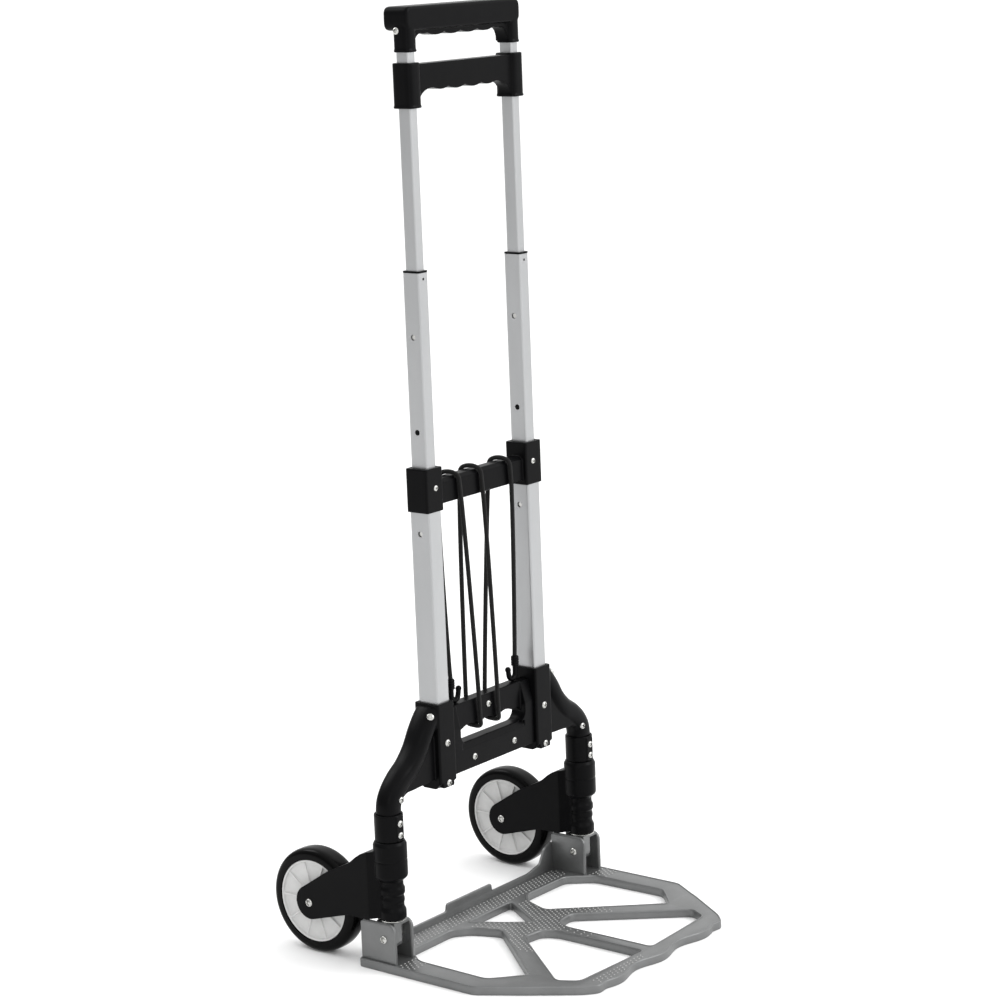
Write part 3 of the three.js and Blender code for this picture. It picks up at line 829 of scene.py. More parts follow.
def shading_nodes(name: str, crease: float) -> bpy.types.NodeTree:
    """Makes the node group that shades a mesh smooth up to an angle.

    Args:
        name: the group's name.
        crease: the angle, in degrees.

    Returns:
        The node group.
    """
    tree = bpy.data.node_groups.new(name, "GeometryNodeTree")
    tree.interface.new_socket("Geometry", in_out="INPUT", socket_type="NodeSocketGeometry")
    tree.interface.new_socket("Geometry", in_out="OUTPUT", socket_type="NodeSocketGeometry")
    start = add_node(tree, "NodeGroupInput")
    angle = add_node(tree, "GeometryNodeInputMeshEdgeAngle").outputs[0]
    soft = add_node(tree, "FunctionNodeCompare", {"operation": "LESS_THAN", 1: math.radians(crease)}, {0: angle})
    faces = add_node(tree, "GeometryNodeSetShadeSmooth", {"domain": "FACE"}, {0: start.outputs[0]})
    edges = add_node(tree, "GeometryNodeSetShadeSmooth", {"domain": "EDGE"}, {0: faces.outputs[0], 2: soft.outputs[0]})
    add_node(tree, "NodeGroupOutput", {}, {0: edges.outputs[0]})
    return tree


@dataclass
class ScrewBox:
    """Cross-head pan screws, each size made once and used many times."""

    bench: Bench
    head_rise: float = 0.52
    _heads: dict[float, bpy.types.Mesh] = field(default_factory=dict)

    def head(self, r: float) -> bpy.types.Mesh:
        """Makes a screw head that faces +Z, with a cross recess.

        Args:
            r: its radius in millimetres.

        Returns:
            Its mesh, in metres.
        """
        if r not in self._heads:
            rise = r * self.head_rise
            dome = [(r * math.sin(a), rise * math.cos(a)) for a in (math.radians(d) for d in range(0, 81, 10))]
            profile = [(0, rise), *dome[1:], (r, 0), (r, -0.4), (0, -0.4)]
            body = lathe(profile, Axis.Z, (0, 0), 32)
            arms = [prism([rectangle((-r * a, r * a), (-r * b, r * b))], Axis.Z, rise * 0.1, rise + 1)
                    for a, b in ((0.58, 0.17), (0.17, 0.58))]
            body = cut(body, *arms)
            body.data.transform(Matrix.Scale(MM, 4))
            body.data.materials.append(self.bench.finishes.get(Finishes.PLATED))
            self._heads[r] = body.data
            drop(body)
        return self._heads[r]

    def place(self, name: str, body: str, at: Point3, facing: Point3, r: float = 4.3, turn: float = 20) -> None:
        """Puts one screw head on a face.

        Args:
            name: the piece's name.
            body: the body it rides on.
            at: the middle of the head's underside, in millimetres.
            facing: the way that the head faces.
            r: the head's radius in millimetres.
            turn: how far its cross is turned, in degrees.
        """
        screw = show(self.head(r), name)
        rotation = Vector((0, 0, 1)).rotation_difference(Vector(facing)).to_matrix().to_4x4()
        place = Matrix.Translation(self.bench.origin + Vector(at) * MM)
        screw.matrix_world = place @ rotation @ Matrix.Rotation(math.radians(turn), 4, "Z")
        shade(screw, 30.0)
        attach(screw, body)
        self.bench.count += 1
        LOG.info("%s rides on %s", name, body)


# ------------------------------------------------------------------ the telescopic frame
@dataclass
class TelescopicTubes:
    """Three nested pairs of aluminium tubes, their end trim, sliders, pins and rods."""

    bench: Bench
    nodes: dict[str, bpy.types.Object]
    edge: float = 0.25

    def build(self) -> None:
        """Keeps every tube and inner piece of the frame with its own surface."""
        kept = {
            "outer_tube": (Finishes.ANODISED, "anodised_tube"),
            "middle_tube": (Finishes.ANODISED, "anodised_tube"),
            "inner_tube": (Finishes.ANODISED, "anodised_tube"),
            "middle_cap": (Finishes.MOULDED, "black_plastic"),
            "middle_glide": (Finishes.SLIDER, "nylon"),
            "inner_glide": (Finishes.SLIDER, "nylon"),
            "middle_lock_pin": (Finishes.PLATED, "bright_steel"),
            "inner_lock_pin": (Finishes.PLATED, "bright_steel"),
            "release_rod": (Finishes.PLATED, "bright_steel"),
            "column_tube": (Finishes.DRAWN, "dark_steel"),
            "foot": (Finishes.PRESSED, "plate_aluminium"),
        }
        for stem, (finish, slot) in kept.items():
            for side in Side:
                self.bench.keep(self.nodes[f"{stem}_{side.word}"], finish, slot, self.edge)


@dataclass
class MiddleCrossbar:
    """The bar that joins the outer tubes' tops, with a collar round each."""

    bench: Bench
    screws: ScrewBox
    tube_x: float = TUBE_X
    tube: Point2 = (23.6, 29.6)
    mouth: Point2 = (18.0, 24.4)
    collar: Point2 = (30.2, 30.8)
    collar_z: Point2 = (526.2, 577.5)
    socket_top: float = 570.3
    bar_z: Point2 = (532.0, 561.0)
    bar_half: float = 10.0
    screw_z: float = 554.0

    def build(self) -> None:
        """Moulds the bar and its collars and sets a screw in each collar's front."""
        bar = rounded([(-self.bar_half, self.bar_z[0]), (self.bar_half, self.bar_z[0]),
                       (self.bar_half, self.bar_z[1] - 4), (self.bar_half - 4, self.bar_z[1]),
                       (4 - self.bar_half, self.bar_z[1]), (-self.bar_half, self.bar_z[1] - 4)], 1)
        inner = self.tube_x - self.tube[0] / 2 - 1
        shells = [prism([bar], Axis.X, -inner, inner)]
        for side in Side:
            x = side.value * self.tube_x
            block = prism([self._section(x, self.collar, 2.5)], Axis.Z, *self.collar_z)
            socket = prism([self._section(x, self.tube, 3)], Axis.Z, self.collar_z[0] - 1, self.socket_top)
            mouth = prism([self._section(x, self.mouth, 2.5)], Axis.Z, self.socket_top - 1, self.collar_z[1] + 1)
            shells.append(cut(block, socket, mouth))
            at = (side.value * (self.tube_x - 1.6), -self.collar[1] / 2 + 0.1, self.screw_z)
            self.screws.place(f"collar_screw_{side.word}", "frame", at, (0, -1, 0), r=3.6)
        solid = melted(shells, 0.8, 2, 0.25)
        self.bench.piece(solid, "crossbar", "frame", Finishes.MOULDED, "black_plastic", ["middle_crossbar"])

    def _section(self, x: float, size: Point2, r: float) -> Loop:
        """A rounded rectangle of that width and depth about x."""
        return rectangle((x - size[0] / 2, x + size[0] / 2), (-size[1] / 2, size[1] / 2), r)


@dataclass
class Shoulders:
    """The mouldings that hold the outer tubes and reach out and down to the wheel columns."""

    bench: Bench
    screws: ScrewBox
    tube_x: float = TUBE_X
    column_x: float = COLUMN_X
    housing_w: float = 30.4
    housing_d: float = 35.5
    housing_z: Point2 = (196.4, 299.4)
    web_half: float = 10.0
    arm_start: Point2 = (16.8, 11.0)
    arm_end: float = 13.8

    def build(self) -> None:
        """Moulds one shoulder for each side, and sets its screws."""
        for side in Side:
            solid = melted(self._shells(), 0.8, 5, 0.25)
            aim = Vector((-0.75, 0.66, 0))
            _, spot, facing, _ = solid.ray_cast(Vector((116, -12, 287.5)) - aim * 60, aim)
            node = f"shoulder_{side.word}"
            self.bench.piece(solid, f"shoulder_moulding_{side.word}", "frame", Finishes.MOULDED, "black_plastic",
                             [node], side)
            self._set_screws(side, spot, facing)

    def _shells(self) -> list[bpy.types.Object]:
        """Shapes the housing, its boss, the arm's thin web and the fat rounded arm.

        Returns:
            The solids of the +X side.
        """
        inner, outer = self.tube_x - self.housing_w / 2, self.tube_x + self.housing_w / 2
        half = self.housing_d / 2
        low, high = self.housing_z
        block = rectangle((inner, outer), (-half, half), 2.5)
        body = prism([block], Axis.Z, low, high)
        slants = [prism([[(way * half * 0.45, low - 1), (way * (half + 1), low - 1), (way * (half + 1), low + 9)]],
                        Axis.X, inner - 1, outer + 1) for way in (-1, 1)]
        room = rectangle((self.tube_x - 11.8, self.tube_x + 11.8), (-14.8, 14.8), 3)
        pocket, arm_pocket, pocket_copy = (prism([room], Axis.Z, 205.7, high + 1) for _ in range(3))
        boss = prism([rectangle((inner + 5, outer - 5), (low + 1, low + 15), 2)], Axis.Y, -half, -half + 9)
        web_line = rounded([(outer - 2, 262), (outer + 16, 262), (150, 226), (176, 206), (176, 198), (170.7, 201),
                            (162, 206.5), (outer - 2, 208.5)], 4)
        web = prism([web_line], Axis.Y, -self.web_half, self.web_half)
        route = [(104, 0, 289), (110, 0, 283), (121, 0, 269), (133, 0, 250), (148, 0, 234), (165, 0, 222),
                 (177, 0, 210), (183, 0, 199), (self.column_x, 0, 184)]
        arm = sweep(spline(route, 6), self._arm_section, 32, 2.5)
        foot_cut = prism([rectangle((165, 205), (-20, 20))], Axis.Z, 150, 178.4)
        bore = rod(Axis.Z, (self.column_x, 0), 11.3, 150, 196.3)
        return [cut(body, *slants, pocket), boss, cut(web, pocket_copy), cut(arm, foot_cut, bore, arm_pocket)]

    def _arm_section(self, share: float) -> Point2:
        """The arm's half depth and half height: deep and flat at the housing, round at the column."""
        t = min(1.0, share * 1.15)
        return tuple(start + (self.arm_end - start) * t for start in self.arm_start)

    def _set_screws(self, side: Side, spot: Vector, facing: Vector) -> None:
        """Sets the screws that show on the housing and the arm.

        Args:
            side: which shoulder.
            spot: where the outer screw sits on the arm's rounded top.
            facing: which way the arm faces there.
        """
        front, back = -self.housing_d / 2 - 0.1, self.housing_d / 2 + 0.1
        inner = self.tube_x - self.housing_w / 2 - 0.1
        screws = {
            "housing_screw_upper": ((self.tube_x, front, 251), (0, -1, 0), 4.4, 10),
            "housing_screw_lower": ((self.tube_x, front, 202.5), (0, -1, 0), 4.2, 35),
            "arm_screw": ((176, -13.2, 203), (0, -1, 0.1), 4.2, 50),
            "housing_screw_back": ((self.tube_x, back, 251), (0, 1, 0), 4.4, 25),
            "shoulder_screw_outer": (tuple(spot), tuple(facing), 4.4, 15),
            "housing_screw_inner": ((inner, 0, 281), (-1, 0, 0), 4.6, 30),
        }
        s, word = side.value, side.word
        for stem, (at, way, r, turn) in screws.items():
            self.screws.place(f"{stem}_{word}", "frame", (s * at[0], *at[1:]), (s * way[0], *way[1:]), r, turn)
        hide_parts(f"shoulder_screw_{word}")


@dataclass
class CarryingBridge:
    """The sill and the scalloped grip between the housings, with a window for the hand."""

    bench: Bench
    screws: ScrewBox
    end_x: float = 78.1
    window_half: float = 62.0
    sill_z: Point2 = (206.5, 239.0)
    grip_z: Point2 = (254.0, 287.0)
    post_top: float = 286.0
    cord_x: float = -20.0
    corner: float = 9.0
    depth: Point2 = (-13.0, 8.0)
    grip_depth: Point2 = (-6.0, 9.0)
    lobe_pitch: float = 35.0
    lobe_depth: float = 4.5
    steps: int = 96
    window_r: float = 12.0

    def build(self) -> None:
        """Moulds the bridge and sets its screws."""
        ends, half = self.end_x, self.window_half
        low, sill = self.sill_z
        profile = [(-ends, low), (ends, low), (ends, self.post_top), (half, self.post_top)]
        r = self.window_r
        profile += arc((half - r, sill + r), r, 0, -90, 8) + arc((r - half, sill + r), r, -90, -180, 8)
        profile += [(-half, self.post_top), (-ends, self.post_top)]
        sill_bar = prism([profile], Axis.Y, *self.depth)
        front, top = self.depth[0], self.post_top + 1
        slope = prism([[(front - 1, sill - 8), (front + 6, sill + 1), (front - 1, sill + 1)]],
                      Axis.X, 2 - half, half - 2)
        chamfer = prism([[(front - 1, 256), (front + 7, top), (front - 1, top)]], Axis.X, -ends - 1, ends + 1)
        span = [(-half - 1) + (2 * half + 2) * i / self.steps for i in range(self.steps + 1)]
        grip_line = [(-half - 1, self.grip_z[1]), *[(x, self._under(x)) for x in span], (half + 1, self.grip_z[1])]
        grip = prism([grip_line], Axis.Y, *self.grip_depth)
        solid = melted([cut(sill_bar, slope, chamfer), grip], 0.8, 3, 0.25)
        self.bench.piece(solid, "carrying_bridge", "frame", Finishes.MOULDED, "black_plastic", ["lower_bridge"])
        for side in Side:
            at = (side.value * 38.4, self.depth[0] - 0.1, 219.5)
            self.screws.place(f"sill_screw_{side.word}", "frame", at, (0, -1, 0), r=4.2, turn=40)
        self.screws.place("grip_screw", "frame", (0, self.grip_depth[0] - 0.1, 274), (0, -1, 0), r=4.4, turn=15)

    def _under(self, x: float) -> float:
        """Finds the height of the grip's scalloped underside.

        Args:
            x: the place along the grip.

        Returns:
            The height, with the window's upper corners rounded off.
        """
        lobe = abs(math.sin(math.pi * (x - self.cord_x) / self.lobe_pitch)) ** 1.3
        past = min(self.corner, max(0.0, abs(x) - (self.window_half - self.corner)))
        return self.grip_z[0] + self.lobe_depth * lobe - (self.corner - math.sqrt(self.corner**2 - past**2))


# ------------------------------------------------------------------ wheel columns
@dataclass
class WheelColumn:
    """One wheel column: its fixed sleeve, bright ring, swivel barrel with a fork, and wheel."""

    bench: Bench
    screws: ScrewBox
    side: Side
    x: float = COLUMN_X
    axle: Point2 = (112.4, 63.5)
    tyre_r: float = 63.5
    tyre_half: float = 14.0
    rim_r: float = 50.0
    hub_r: float = 13.0
    fork: Point2 = (15.9, 20.3)
    fork_end: float = 20.5
    barrel_r: float = 19.8
    groove_r: float = 13.8
    rib_r: float = 16.0
    bore_r: float = 11.3
    ribs: int = 10
    face: float = 8.0
    ring_z: Point2 = (59.3, 60.8)
    ring_r: float = 15.5
    bolt_r: float = 4.0
    bolt_hole_r: float = 4.3
    bush_r: float = 7.0

    def build(self) -> None:
        """Builds the column from the top down."""
        self._sleeve()
        self._ring()
        self._bracket()
        self._tyre()
        self._hub()
        self._axle()

    def _name(self, stem: str) -> str:
        """A piece's or node's name on this side."""
        return f"{stem}_{self.side.word}"

    def _sleeve(self) -> None:
        """The fixed sleeve, with a flat pad for two screws at its front."""
        turned = lathe([(14.4, 177.7), (14.4, 187.4), (15.2, 188), (16.4, 188), (17, 187.2), (17, 157), (16.4, 156),
                        (self.bore_r, 156), (self.bore_r, 177.7), (14.4, 177.7)], Axis.Z, (self.x, 0), 64)
        pad = prism([rectangle((self.x - 6, self.x + 6), (157, 186), 2)], Axis.Y, -17.4, -14)
        pad = cut(pad, rod(Axis.Z, (self.x, 0), 14.4, 150, 190, 32))
        solid = melted([turned, pad], 0.7, 2, 0.3)
        self.bench.piece(solid, self._name("sleeve"), "frame", Finishes.MOULDED, "black_plastic",
                         [self._name("sleeve_collar")], self.side)
        for word, z in (("upper", 177.5), ("lower", 163.5)):
            at = (self.side.value * self.x, -17.4, z)
            self.screws.place(f"sleeve_screw_{word}_{self.side.word}", "frame", at, (0, -1, 0), r=4.2, turn=30)

    def _ring(self) -> None:
        """The thin bright ring under the barrel."""
        (low, high), r = self.ring_z, self.ring_r
        profile = [(10, low), (r - 0.5, low), (r, low + 0.4), (r, high - 0.4), (r - 0.5, high), (10, high), (10, low)]
        self.bench.piece(lathe(profile, Axis.Z, (self.x, 0)), self._name("ring"), "frame", Finishes.PLATED,
                         "bright_steel", [self._name("retaining_ring")], self.side)

    def _bracket(self) -> None:
        """The ribbed swivel barrel and the fork that carries the wheel, in one moulding."""
        g, rib, r = self.groove_r, self.rib_r, self.barrel_r
        profile = [(self.bore_r, 61.2), (rib - 0.6, 61.2), (rib, 62), (rib, 71), (g, 76), (g, 80), (rib - 1.4, 82),
                   (rib - 1.4, 85), (g, 88), (g, 90), (rib - 0.6, 92), (rib - 0.6, 97.5), (g, 101), (g, 107),
                   (r - 0.6, 112), (r, 114), (r, 131.6), (r - 0.6, 132.2), (r - 0.6, 133.2), (r, 133.8), (r, 151.5),
                   (r - 2.4, 155.7), (self.bore_r, 155.7), (self.bore_r, 61.2)]
        barrel = lathe(profile, Axis.Z, (self.x, 0), 80)
        y, z = self.axle
        side_line = [(5, 64), (16.5, 61.4), (24, 59.8), (52, 59.8), (y - 6, z - self.fork_end + 0.9)]
        side_line += arc((y, z), self.fork_end, -108, 63, 20) + [(84, 106.5), (66, 115.5), (50, 123), (45, 126.5)]
        side_line += [(38, 132.5), (30, 138), (22, 141.5), (14, 143), (5, 143)]
        reach = self.fork[1]
        body = prism([side_line], Axis.X, self.x - reach, self.x + reach)
        room = rod(Axis.X, (y, z), self.tyre_r + 3, self.x - self.fork[0], self.x + self.fork[0], 96)
        bore = rod(Axis.Z, (self.x, 0), self.bore_r, 40, 180)
        axle_bore = rod(Axis.X, (y, z), self.bolt_hole_r, self.x - 30, self.x + 30, 32)
        roots = [prism([[(self.x + way * 15, 4), (self.x + way * 22, 4), (self.x + way * 22, 24)]], Axis.Z, 40, 170)
                 for way in (-1, 1)]
        shells = [barrel, cut(body, room, bore, axle_bore, *roots)]
        solid = melted(shells, 0.8, 3, 0.25)
        self.bench.piece(solid, self._name("fork_bracket"), self._name("bracket"), Finishes.MOULDED, "black_plastic",
                         [self._name("wheel_bracket")], self.side)

    def _tyre(self) -> None:
        """A solid tyre with a rounded tread and soft shoulders."""
        r, h, rim = self.tyre_r, self.tyre_half, self.rim_r + 0.3
        turns = [math.pi * i / 28 for i in range(29)]
        bulge = [(rim + (r - rim) * abs(math.sin(a)) ** 0.55, -h * _squared(math.cos(a), 3.4)) for a in turns]
        profile = [*bulge, bulge[0]]
        self._on_axle(profile, "tyre_cast", "tyre", Finishes.TYRE, "tyre_rubber")

    def _hub(self) -> None:
        """A dished hub with a lipped rim, a boss and radial ribs on both faces."""
        h, rim, hub = self.tyre_half, self.rim_r, self.hub_r
        rim_profile = [(rim - 2.4, -h + 1.4), (rim - 1.8, -h + 0.8), (rim - 0.4, -h + 0.8), (rim, -h + 1.4),
                       (rim, h - 1.4), (rim - 0.4, h - 0.8), (rim - 1.8, h - 0.8), (rim - 2.4, h - 1.4),
                       (rim - 2.4, -h + 1.4)]
        face = self.face
        disc = [(7.3, -face), (rim - 6, -face), (rim - 1, -face - 1.5), (rim - 1, face + 1.5), (rim - 6, face),
                (7.3, face), (7.3, -face)]
        boss = [(7.3, -h), (hub - 1, -h), (hub, -h + 1), (hub + 1.5, -3), (hub + 1.5, 3), (hub, h - 1), (hub - 1, h),
                (7.3, h), (7.3, -h)]
        shells = [lathe(p, Axis.X, self.axle, 96) for p in (rim_profile, disc, boss)]
        top = face + 2.6
        rib_line = [(-top - 1, hub - 1), (-top, rim - 2), (top, rim - 2), (top + 1, hub - 1)]
        for i in range(self.ribs):
            rib = prism([rib_line], Axis.Y, -1.1, 1.1)
            spin = Matrix.Rotation(TURN * (i + 0.5) / self.ribs, 4, "X")
            rib.data.transform(Matrix.Translation((0, *self.axle)) @ spin)
            shells.append(rib)
        solid = melted(shells, 0.7, 1, 0.3)
        solid.data.transform(Matrix.Translation((self.x, 0, 0)))
        self.bench.piece(solid, self._name("hub"), self._name("wheel"), Finishes.HUB, "hub_plastic",
                         [self._name("wheel_hub")], self.side)

    def _on_axle(self, profile: Sequence[Point2], name: str, node: str, finish: Finish, slot: str) -> None:
        """Turns a profile about the axle and adds it to the wheel.

        Args:
            profile: radius and place along the axle.
            name: the piece's name, without its side.
            node: the node it replaces, without its side.
            finish: its surface.
            slot: its material slot.
        """
        solid = lathe(profile, Axis.X, self.axle, 128)
        solid.data.transform(Matrix.Translation((self.x, 0, 0)))
        self.bench.piece(solid, self._name(name), self._name("wheel"), finish, slot, [self._name(node)], self.side)

    def _axle(self) -> None:
        """The bush, and the bolt with its cross head at -X and its dome nut at +X."""
        h = self.tyre_half + 1
        bore, r = self.bolt_hole_r, self.bush_r
        self._on_axle([(bore, -h), (r - 0.4, -h), (r, -h + 0.4), (r, h - 0.4), (r - 0.4, h), (bore, h), (bore, -h)],
                      "bush", "wheel_bush", Finishes.DRAWN, "dark_steel")
        middle, out = self.side.value * self.x, self.fork[1]
        body = self._name("bracket")
        shank = rod(Axis.X, self.axle, self.bolt_r, middle - out - 1, middle + out + 0.3, 32)
        self.bench.piece(shank, self._name("axle_shank"), body, Finishes.PLATED, "bright_steel",
                         [self._name("axle_bolt")])
        at = (middle - out - 0.4, *self.axle)
        self.screws.place(self._name("axle_head"), body, at, (-1, 0, 0), r=5.0, turn=25)
        dome = [*dome_profile(5.2, 2.4), (5.2, 0), (0, 0)]
        nut = lathe([(r, middle + out + 0.5 + v) for r, v in dome], Axis.X, self.axle, 48)
        self.bench.piece(nut, self._name("dome_nut"), body, Finishes.PLATED, "bright_steel", [self._name("axle_nut")])


# ------------------------------------------------------------------ toe plate
@dataclass
class ToePlate:
    """A pressed plate with cut-outs, a raised back lip, hinge ears and a raised tread."""

    bench: Bench
    screws: ScrewBox
    thick: float = 10.0
    skin: float = 3.5
    flange: float = 3.0
    side_x: float = 206.0
    back: float = 38.5
    nose: float = -248.0
    wave: float = 4.5
    wave_pitch: float = 86.0
    column_x: float = COLUMN_X
    hinge: Point2 = (1.0, 38.5)
    ear_x: Point2 = (167.4, 202.0)
    ear_thick: float = 4.0
    ear_y: Point2 = (-14.0, 36.0)
    ear_top: float = 56.5
    stud: Point3 = (2.8, 2.0, 0.9)
    stud_pitch: Point2 = (6.6, 5.0)
    stud_sides: int = 8
    stud_slant: float = 16.0
    stud_margin: float = 2.6
    bead_r: float = 1.0
    ear_r: float = 8.0
    pin_r: float = 4.0
    back_tread: Loop = field(default_factory=lambda: [(-162, 9), (162, 9), (162, 33), (-162, 33)])
    hub_tread: Loop = field(default_factory=lambda: [(-84, -8), (84, -8), (84, -150), (-84, -150)])
    hub_tread_circle: Point3 = (0.0, -78.0, 92.0)
    ear_tread: Loop = field(default_factory=lambda: [(168, -44), (203, -44), (203, -15), (168, -15)])
    nose_tread: Loop = field(default_factory=lambda: [(-118, -248), (-20, -248), (-20, -231), (-118, -231)])
    side_hole: Loop = field(default_factory=lambda: [
        (74, 4), (56, -12), (43, -47), (140, -162), (168, -136), (176, -127), (174, -28), (150, 3)])
    front_hole: Loop = field(default_factory=lambda: [
        (9, -228), (9, -104), (18, -88), (46, -84), (137, -199), (124, -222)])
    middle_hole: Loop = field(default_factory=lambda: [(-42, 5), (0, -62), (42, 5)])
    nose_corners: Loop = field(default_factory=lambda: [
        (206, -132), (184, -167), (179, -176), (139, -236), (124, -250)])

    def build(self) -> None:
        """Presses the plate, adds its lip and ears, raises its tread and fits the hinge pins."""
        holes = self._holes()
        line = self._outline()
        sheet = prism([rounded(line, 6), *[rounded(hole, 7) for hole in holes]], Axis.Z, 0, self.thick, 1.1)
        pan = prism([rounded(grown(line, -self.flange), 4)], Axis.Z, -1, self.thick - self.skin)
        islands = [prism([rounded(grown(hole, self.flange), 9)], Axis.Z, -2, self.thick) for hole in holes]
        sheet = cut(sheet, cut(pan, *islands))
        bores = [rod(Axis.X, self.hinge, 4.3, side.value * self.column_x - 30, side.value * self.column_x + 30, 32)
                 for side in Side]
        ears = cut(gathered([self._ear(x0) for x0 in self._ear_starts()]), *bores)
        top = self.thick - 0.35
        loops = [rounded(grown(line, -1.4), 6), *[rounded(grown(hole, 1.4), 8) for hole in holes]]
        rims = [bead([(u, v, top) for u, v in loop], self.bead_r, True) for loop in loops]
        flanges = [self._flange(x0) for x0 in self._ear_starts()]
        solid = gathered([sheet, self._lip(), ears, *rims, *flanges])
        self.bench.piece(solid, "pressed_plate", "toe_plate", Finishes.PRESSED, "plate_aluminium", ["toe_plate"],
                         crease=32)
        self._tread()
        for side in Side:
            self._pin(side)

    def _holes(self) -> list[Loop]:
        """The plate's five cut-outs."""
        return [self.side_hole, mirrored(self.side_hole), self.front_hole, mirrored(self.front_hole), self.middle_hole]

    def _outline(self) -> Loop:
        """Draws the plate's outline, with a gently scalloped nose.

        Returns:
            The corners, from the back left round the nose.
        """
        left = [(-x, y) for x, y in self.nose_corners]
        middle = [(x, self.nose - self.wave * math.cos(TURN * x / self.wave_pitch)) for x in range(-108, 109, 6)]
        return [(-self.side_x, self.back), *left, *middle, *reversed(self.nose_corners), (self.side_x, self.back)]

    def _ear_starts(self) -> list[float]:
        """Where each of the four ears starts along X."""
        low, high = self.ear_x
        return [high - self.ear_thick, low, -high, -low - self.ear_thick]

    def _ear(self, x0: float) -> bpy.types.Object:
        """Shapes one ear, with a round front corner.

        Args:
            x0: where it starts along X.

        Returns:
            The solid.
        """
        (front, back), top, r = self.ear_y, self.ear_top, self.ear_r
        line = [(front, self.skin), (back, self.skin), *arc((back - 3, top - 3), 3, 0, 90, 5),
                *arc((front + r, top - r), r, 90, 180, 10)]
        return prism([line], Axis.X, x0, x0 + self.ear_thick, 0.7)

    def _flange(self, x0: float) -> bpy.types.Object:
        """Rolls the edge along an ear's front and top.

        Args:
            x0: where the ear starts along X.

        Returns:
            The solid.
        """
        (front, back), top, r = self.ear_y, self.ear_top, self.ear_r
        middle = x0 + self.ear_thick / 2
        line = [(front, self.thick), *reversed(arc((front + r, top - r), r, 90, 180, 10)), (back - 4, top)]
        return bead([(middle, y, z) for y, z in line], self.ear_thick / 2 + 0.25, False)

    def _lip(self) -> bpy.types.Object:
        """Raises the back edge, with a tab in the middle and gussets up to the ears.

        Returns:
            The solid.
        """
        inner = self.ear_x[0] + 1
        half = [(inner, self.skin), (inner, 46), (152, 40), (142, 23), (129, 20), (118, 17.5), (45, 17.5), (43, 27)]
        line = rounded([*half, *[(-x, z) for x, z in reversed(half)]], 3)
        return prism([line], Axis.Y, self.back - 3, self.back, 0.7)

    def _tread(self) -> None:
        """Small raised lozenges in rows, where a load or a foot rests."""
        work = bmesh.new()
        pitch_x, pitch_y = self.stud_pitch
        rim = grown(self._outline(), -3.5)
        holes = [grown(hole, self.stud_margin) for hole in self._holes()]
        for row in range(-60, 10):
            for column in range(-38, 39):
                spot = ((column + 0.5 * (row % 2)) * pitch_x, row * pitch_y)
                on_sheet = inside(spot, rim) and not any(inside(spot, hole) for hole in holes)
                on_spine = abs(spot[0]) < 2 and spot[1] < -104
                if on_sheet and not on_spine and self._has_tread(spot):
                    self._stud(work, spot, self.stud_slant if row % 2 else -self.stud_slant)
        mesh = bpy.data.meshes.new("tread")
        work.to_mesh(mesh)
        work.free()
        # The studs take the lighter finish, a painted highlight on their raised tops.
        self.bench.piece(show(mesh, "tread"), "tread", "toe_plate", Finishes.PAINTED_TREAD_HIGHLIGHT, "plate_aluminium", crease=60)

    def _has_tread(self, spot: Point2) -> bool:
        """Whether the tread reaches a spot: along the back, round the hub, by the ears or at the nose.

        Args:
            spot: X and Y on the plate.

        Returns:
            True on a treaded part.
        """
        if any(inside(spot, patch) for patch in (self.ear_tread, mirrored(self.ear_tread), self.nose_tread)):
            return True
        x, y, r = self.hub_tread_circle
        near_hub = math.hypot(spot[0] - x, spot[1] - y) <= r
        return inside(spot, self.back_tread) or (inside(spot, self.hub_tread) and near_hub)

    def _stud(self, work: bmesh.types.BMesh, spot: Point2, slant: float) -> None:
        """Adds one lozenge, sunk a little into the plate so that it has no gap under it.

        Args:
            work: the mesh it is added to.
            spot: its middle on the plate.
            slant: how far it is turned, in degrees.
        """
        length, width, rise = self.stud
        turn = Matrix.Rotation(math.radians(slant), 3, "Z")
        top = self.thick + rise - 0.15
        angles = [TURN * k / self.stud_sides for k in range(self.stud_sides)]
        rings = []
        for share, z in ((1.0, self.thick - 0.3), (1.0, self.thick + 0.1), (0.72, top), (0.3, top + 0.15)):
            corners = [(length / 2 * share * math.cos(a), width / 2 * share * math.sin(a)) for a in angles]
            rings.append([work.verts.new(turn @ Vector((u, v, 0)) + Vector((*spot, z))) for u, v in corners])
        for below, above in zip(rings, rings[1:]):
            for k, near in enumerate(below):
                after = (k + 1) % self.stud_sides
                work.faces.new([near, below[after], above[after], above[k]])
        work.faces.new(rings[-1])
        work.faces.new(list(reversed(rings[0])))

    def _pin(self, side: Side) -> None:
        """Fits a hinge pin, with a cross head at its -X end and a dome at its +X end.

        Args:
            side: which pin.
        """
        low, high = (self.ear_x[0], self.ear_x[1]) if side is Side.RIGHT else (-self.ear_x[1], -self.ear_x[0])
        shank = rod(Axis.X, self.hinge, self.pin_r, low - 0.6, high + 0.6, 32)
        dome = [*dome_profile(5, 2.3), (5, 0.2), (0, 0.2)]
        end = lathe([(r, high + v) for r, v in dome], Axis.X, self.hinge, 48)
        self.bench.piece(gathered([shank, end]), f"hinge_pin_shank_{side.word}", "toe_plate", Finishes.PLATED,
                         "bright_steel", [f"hinge_pin_{side.word}"])
        at = (low - 0.4, *self.hinge)
        self.screws.place(f"hinge_pin_head_{side.word}", "toe_plate", at, (-1, 0, 0), r=5.0, turn=30)


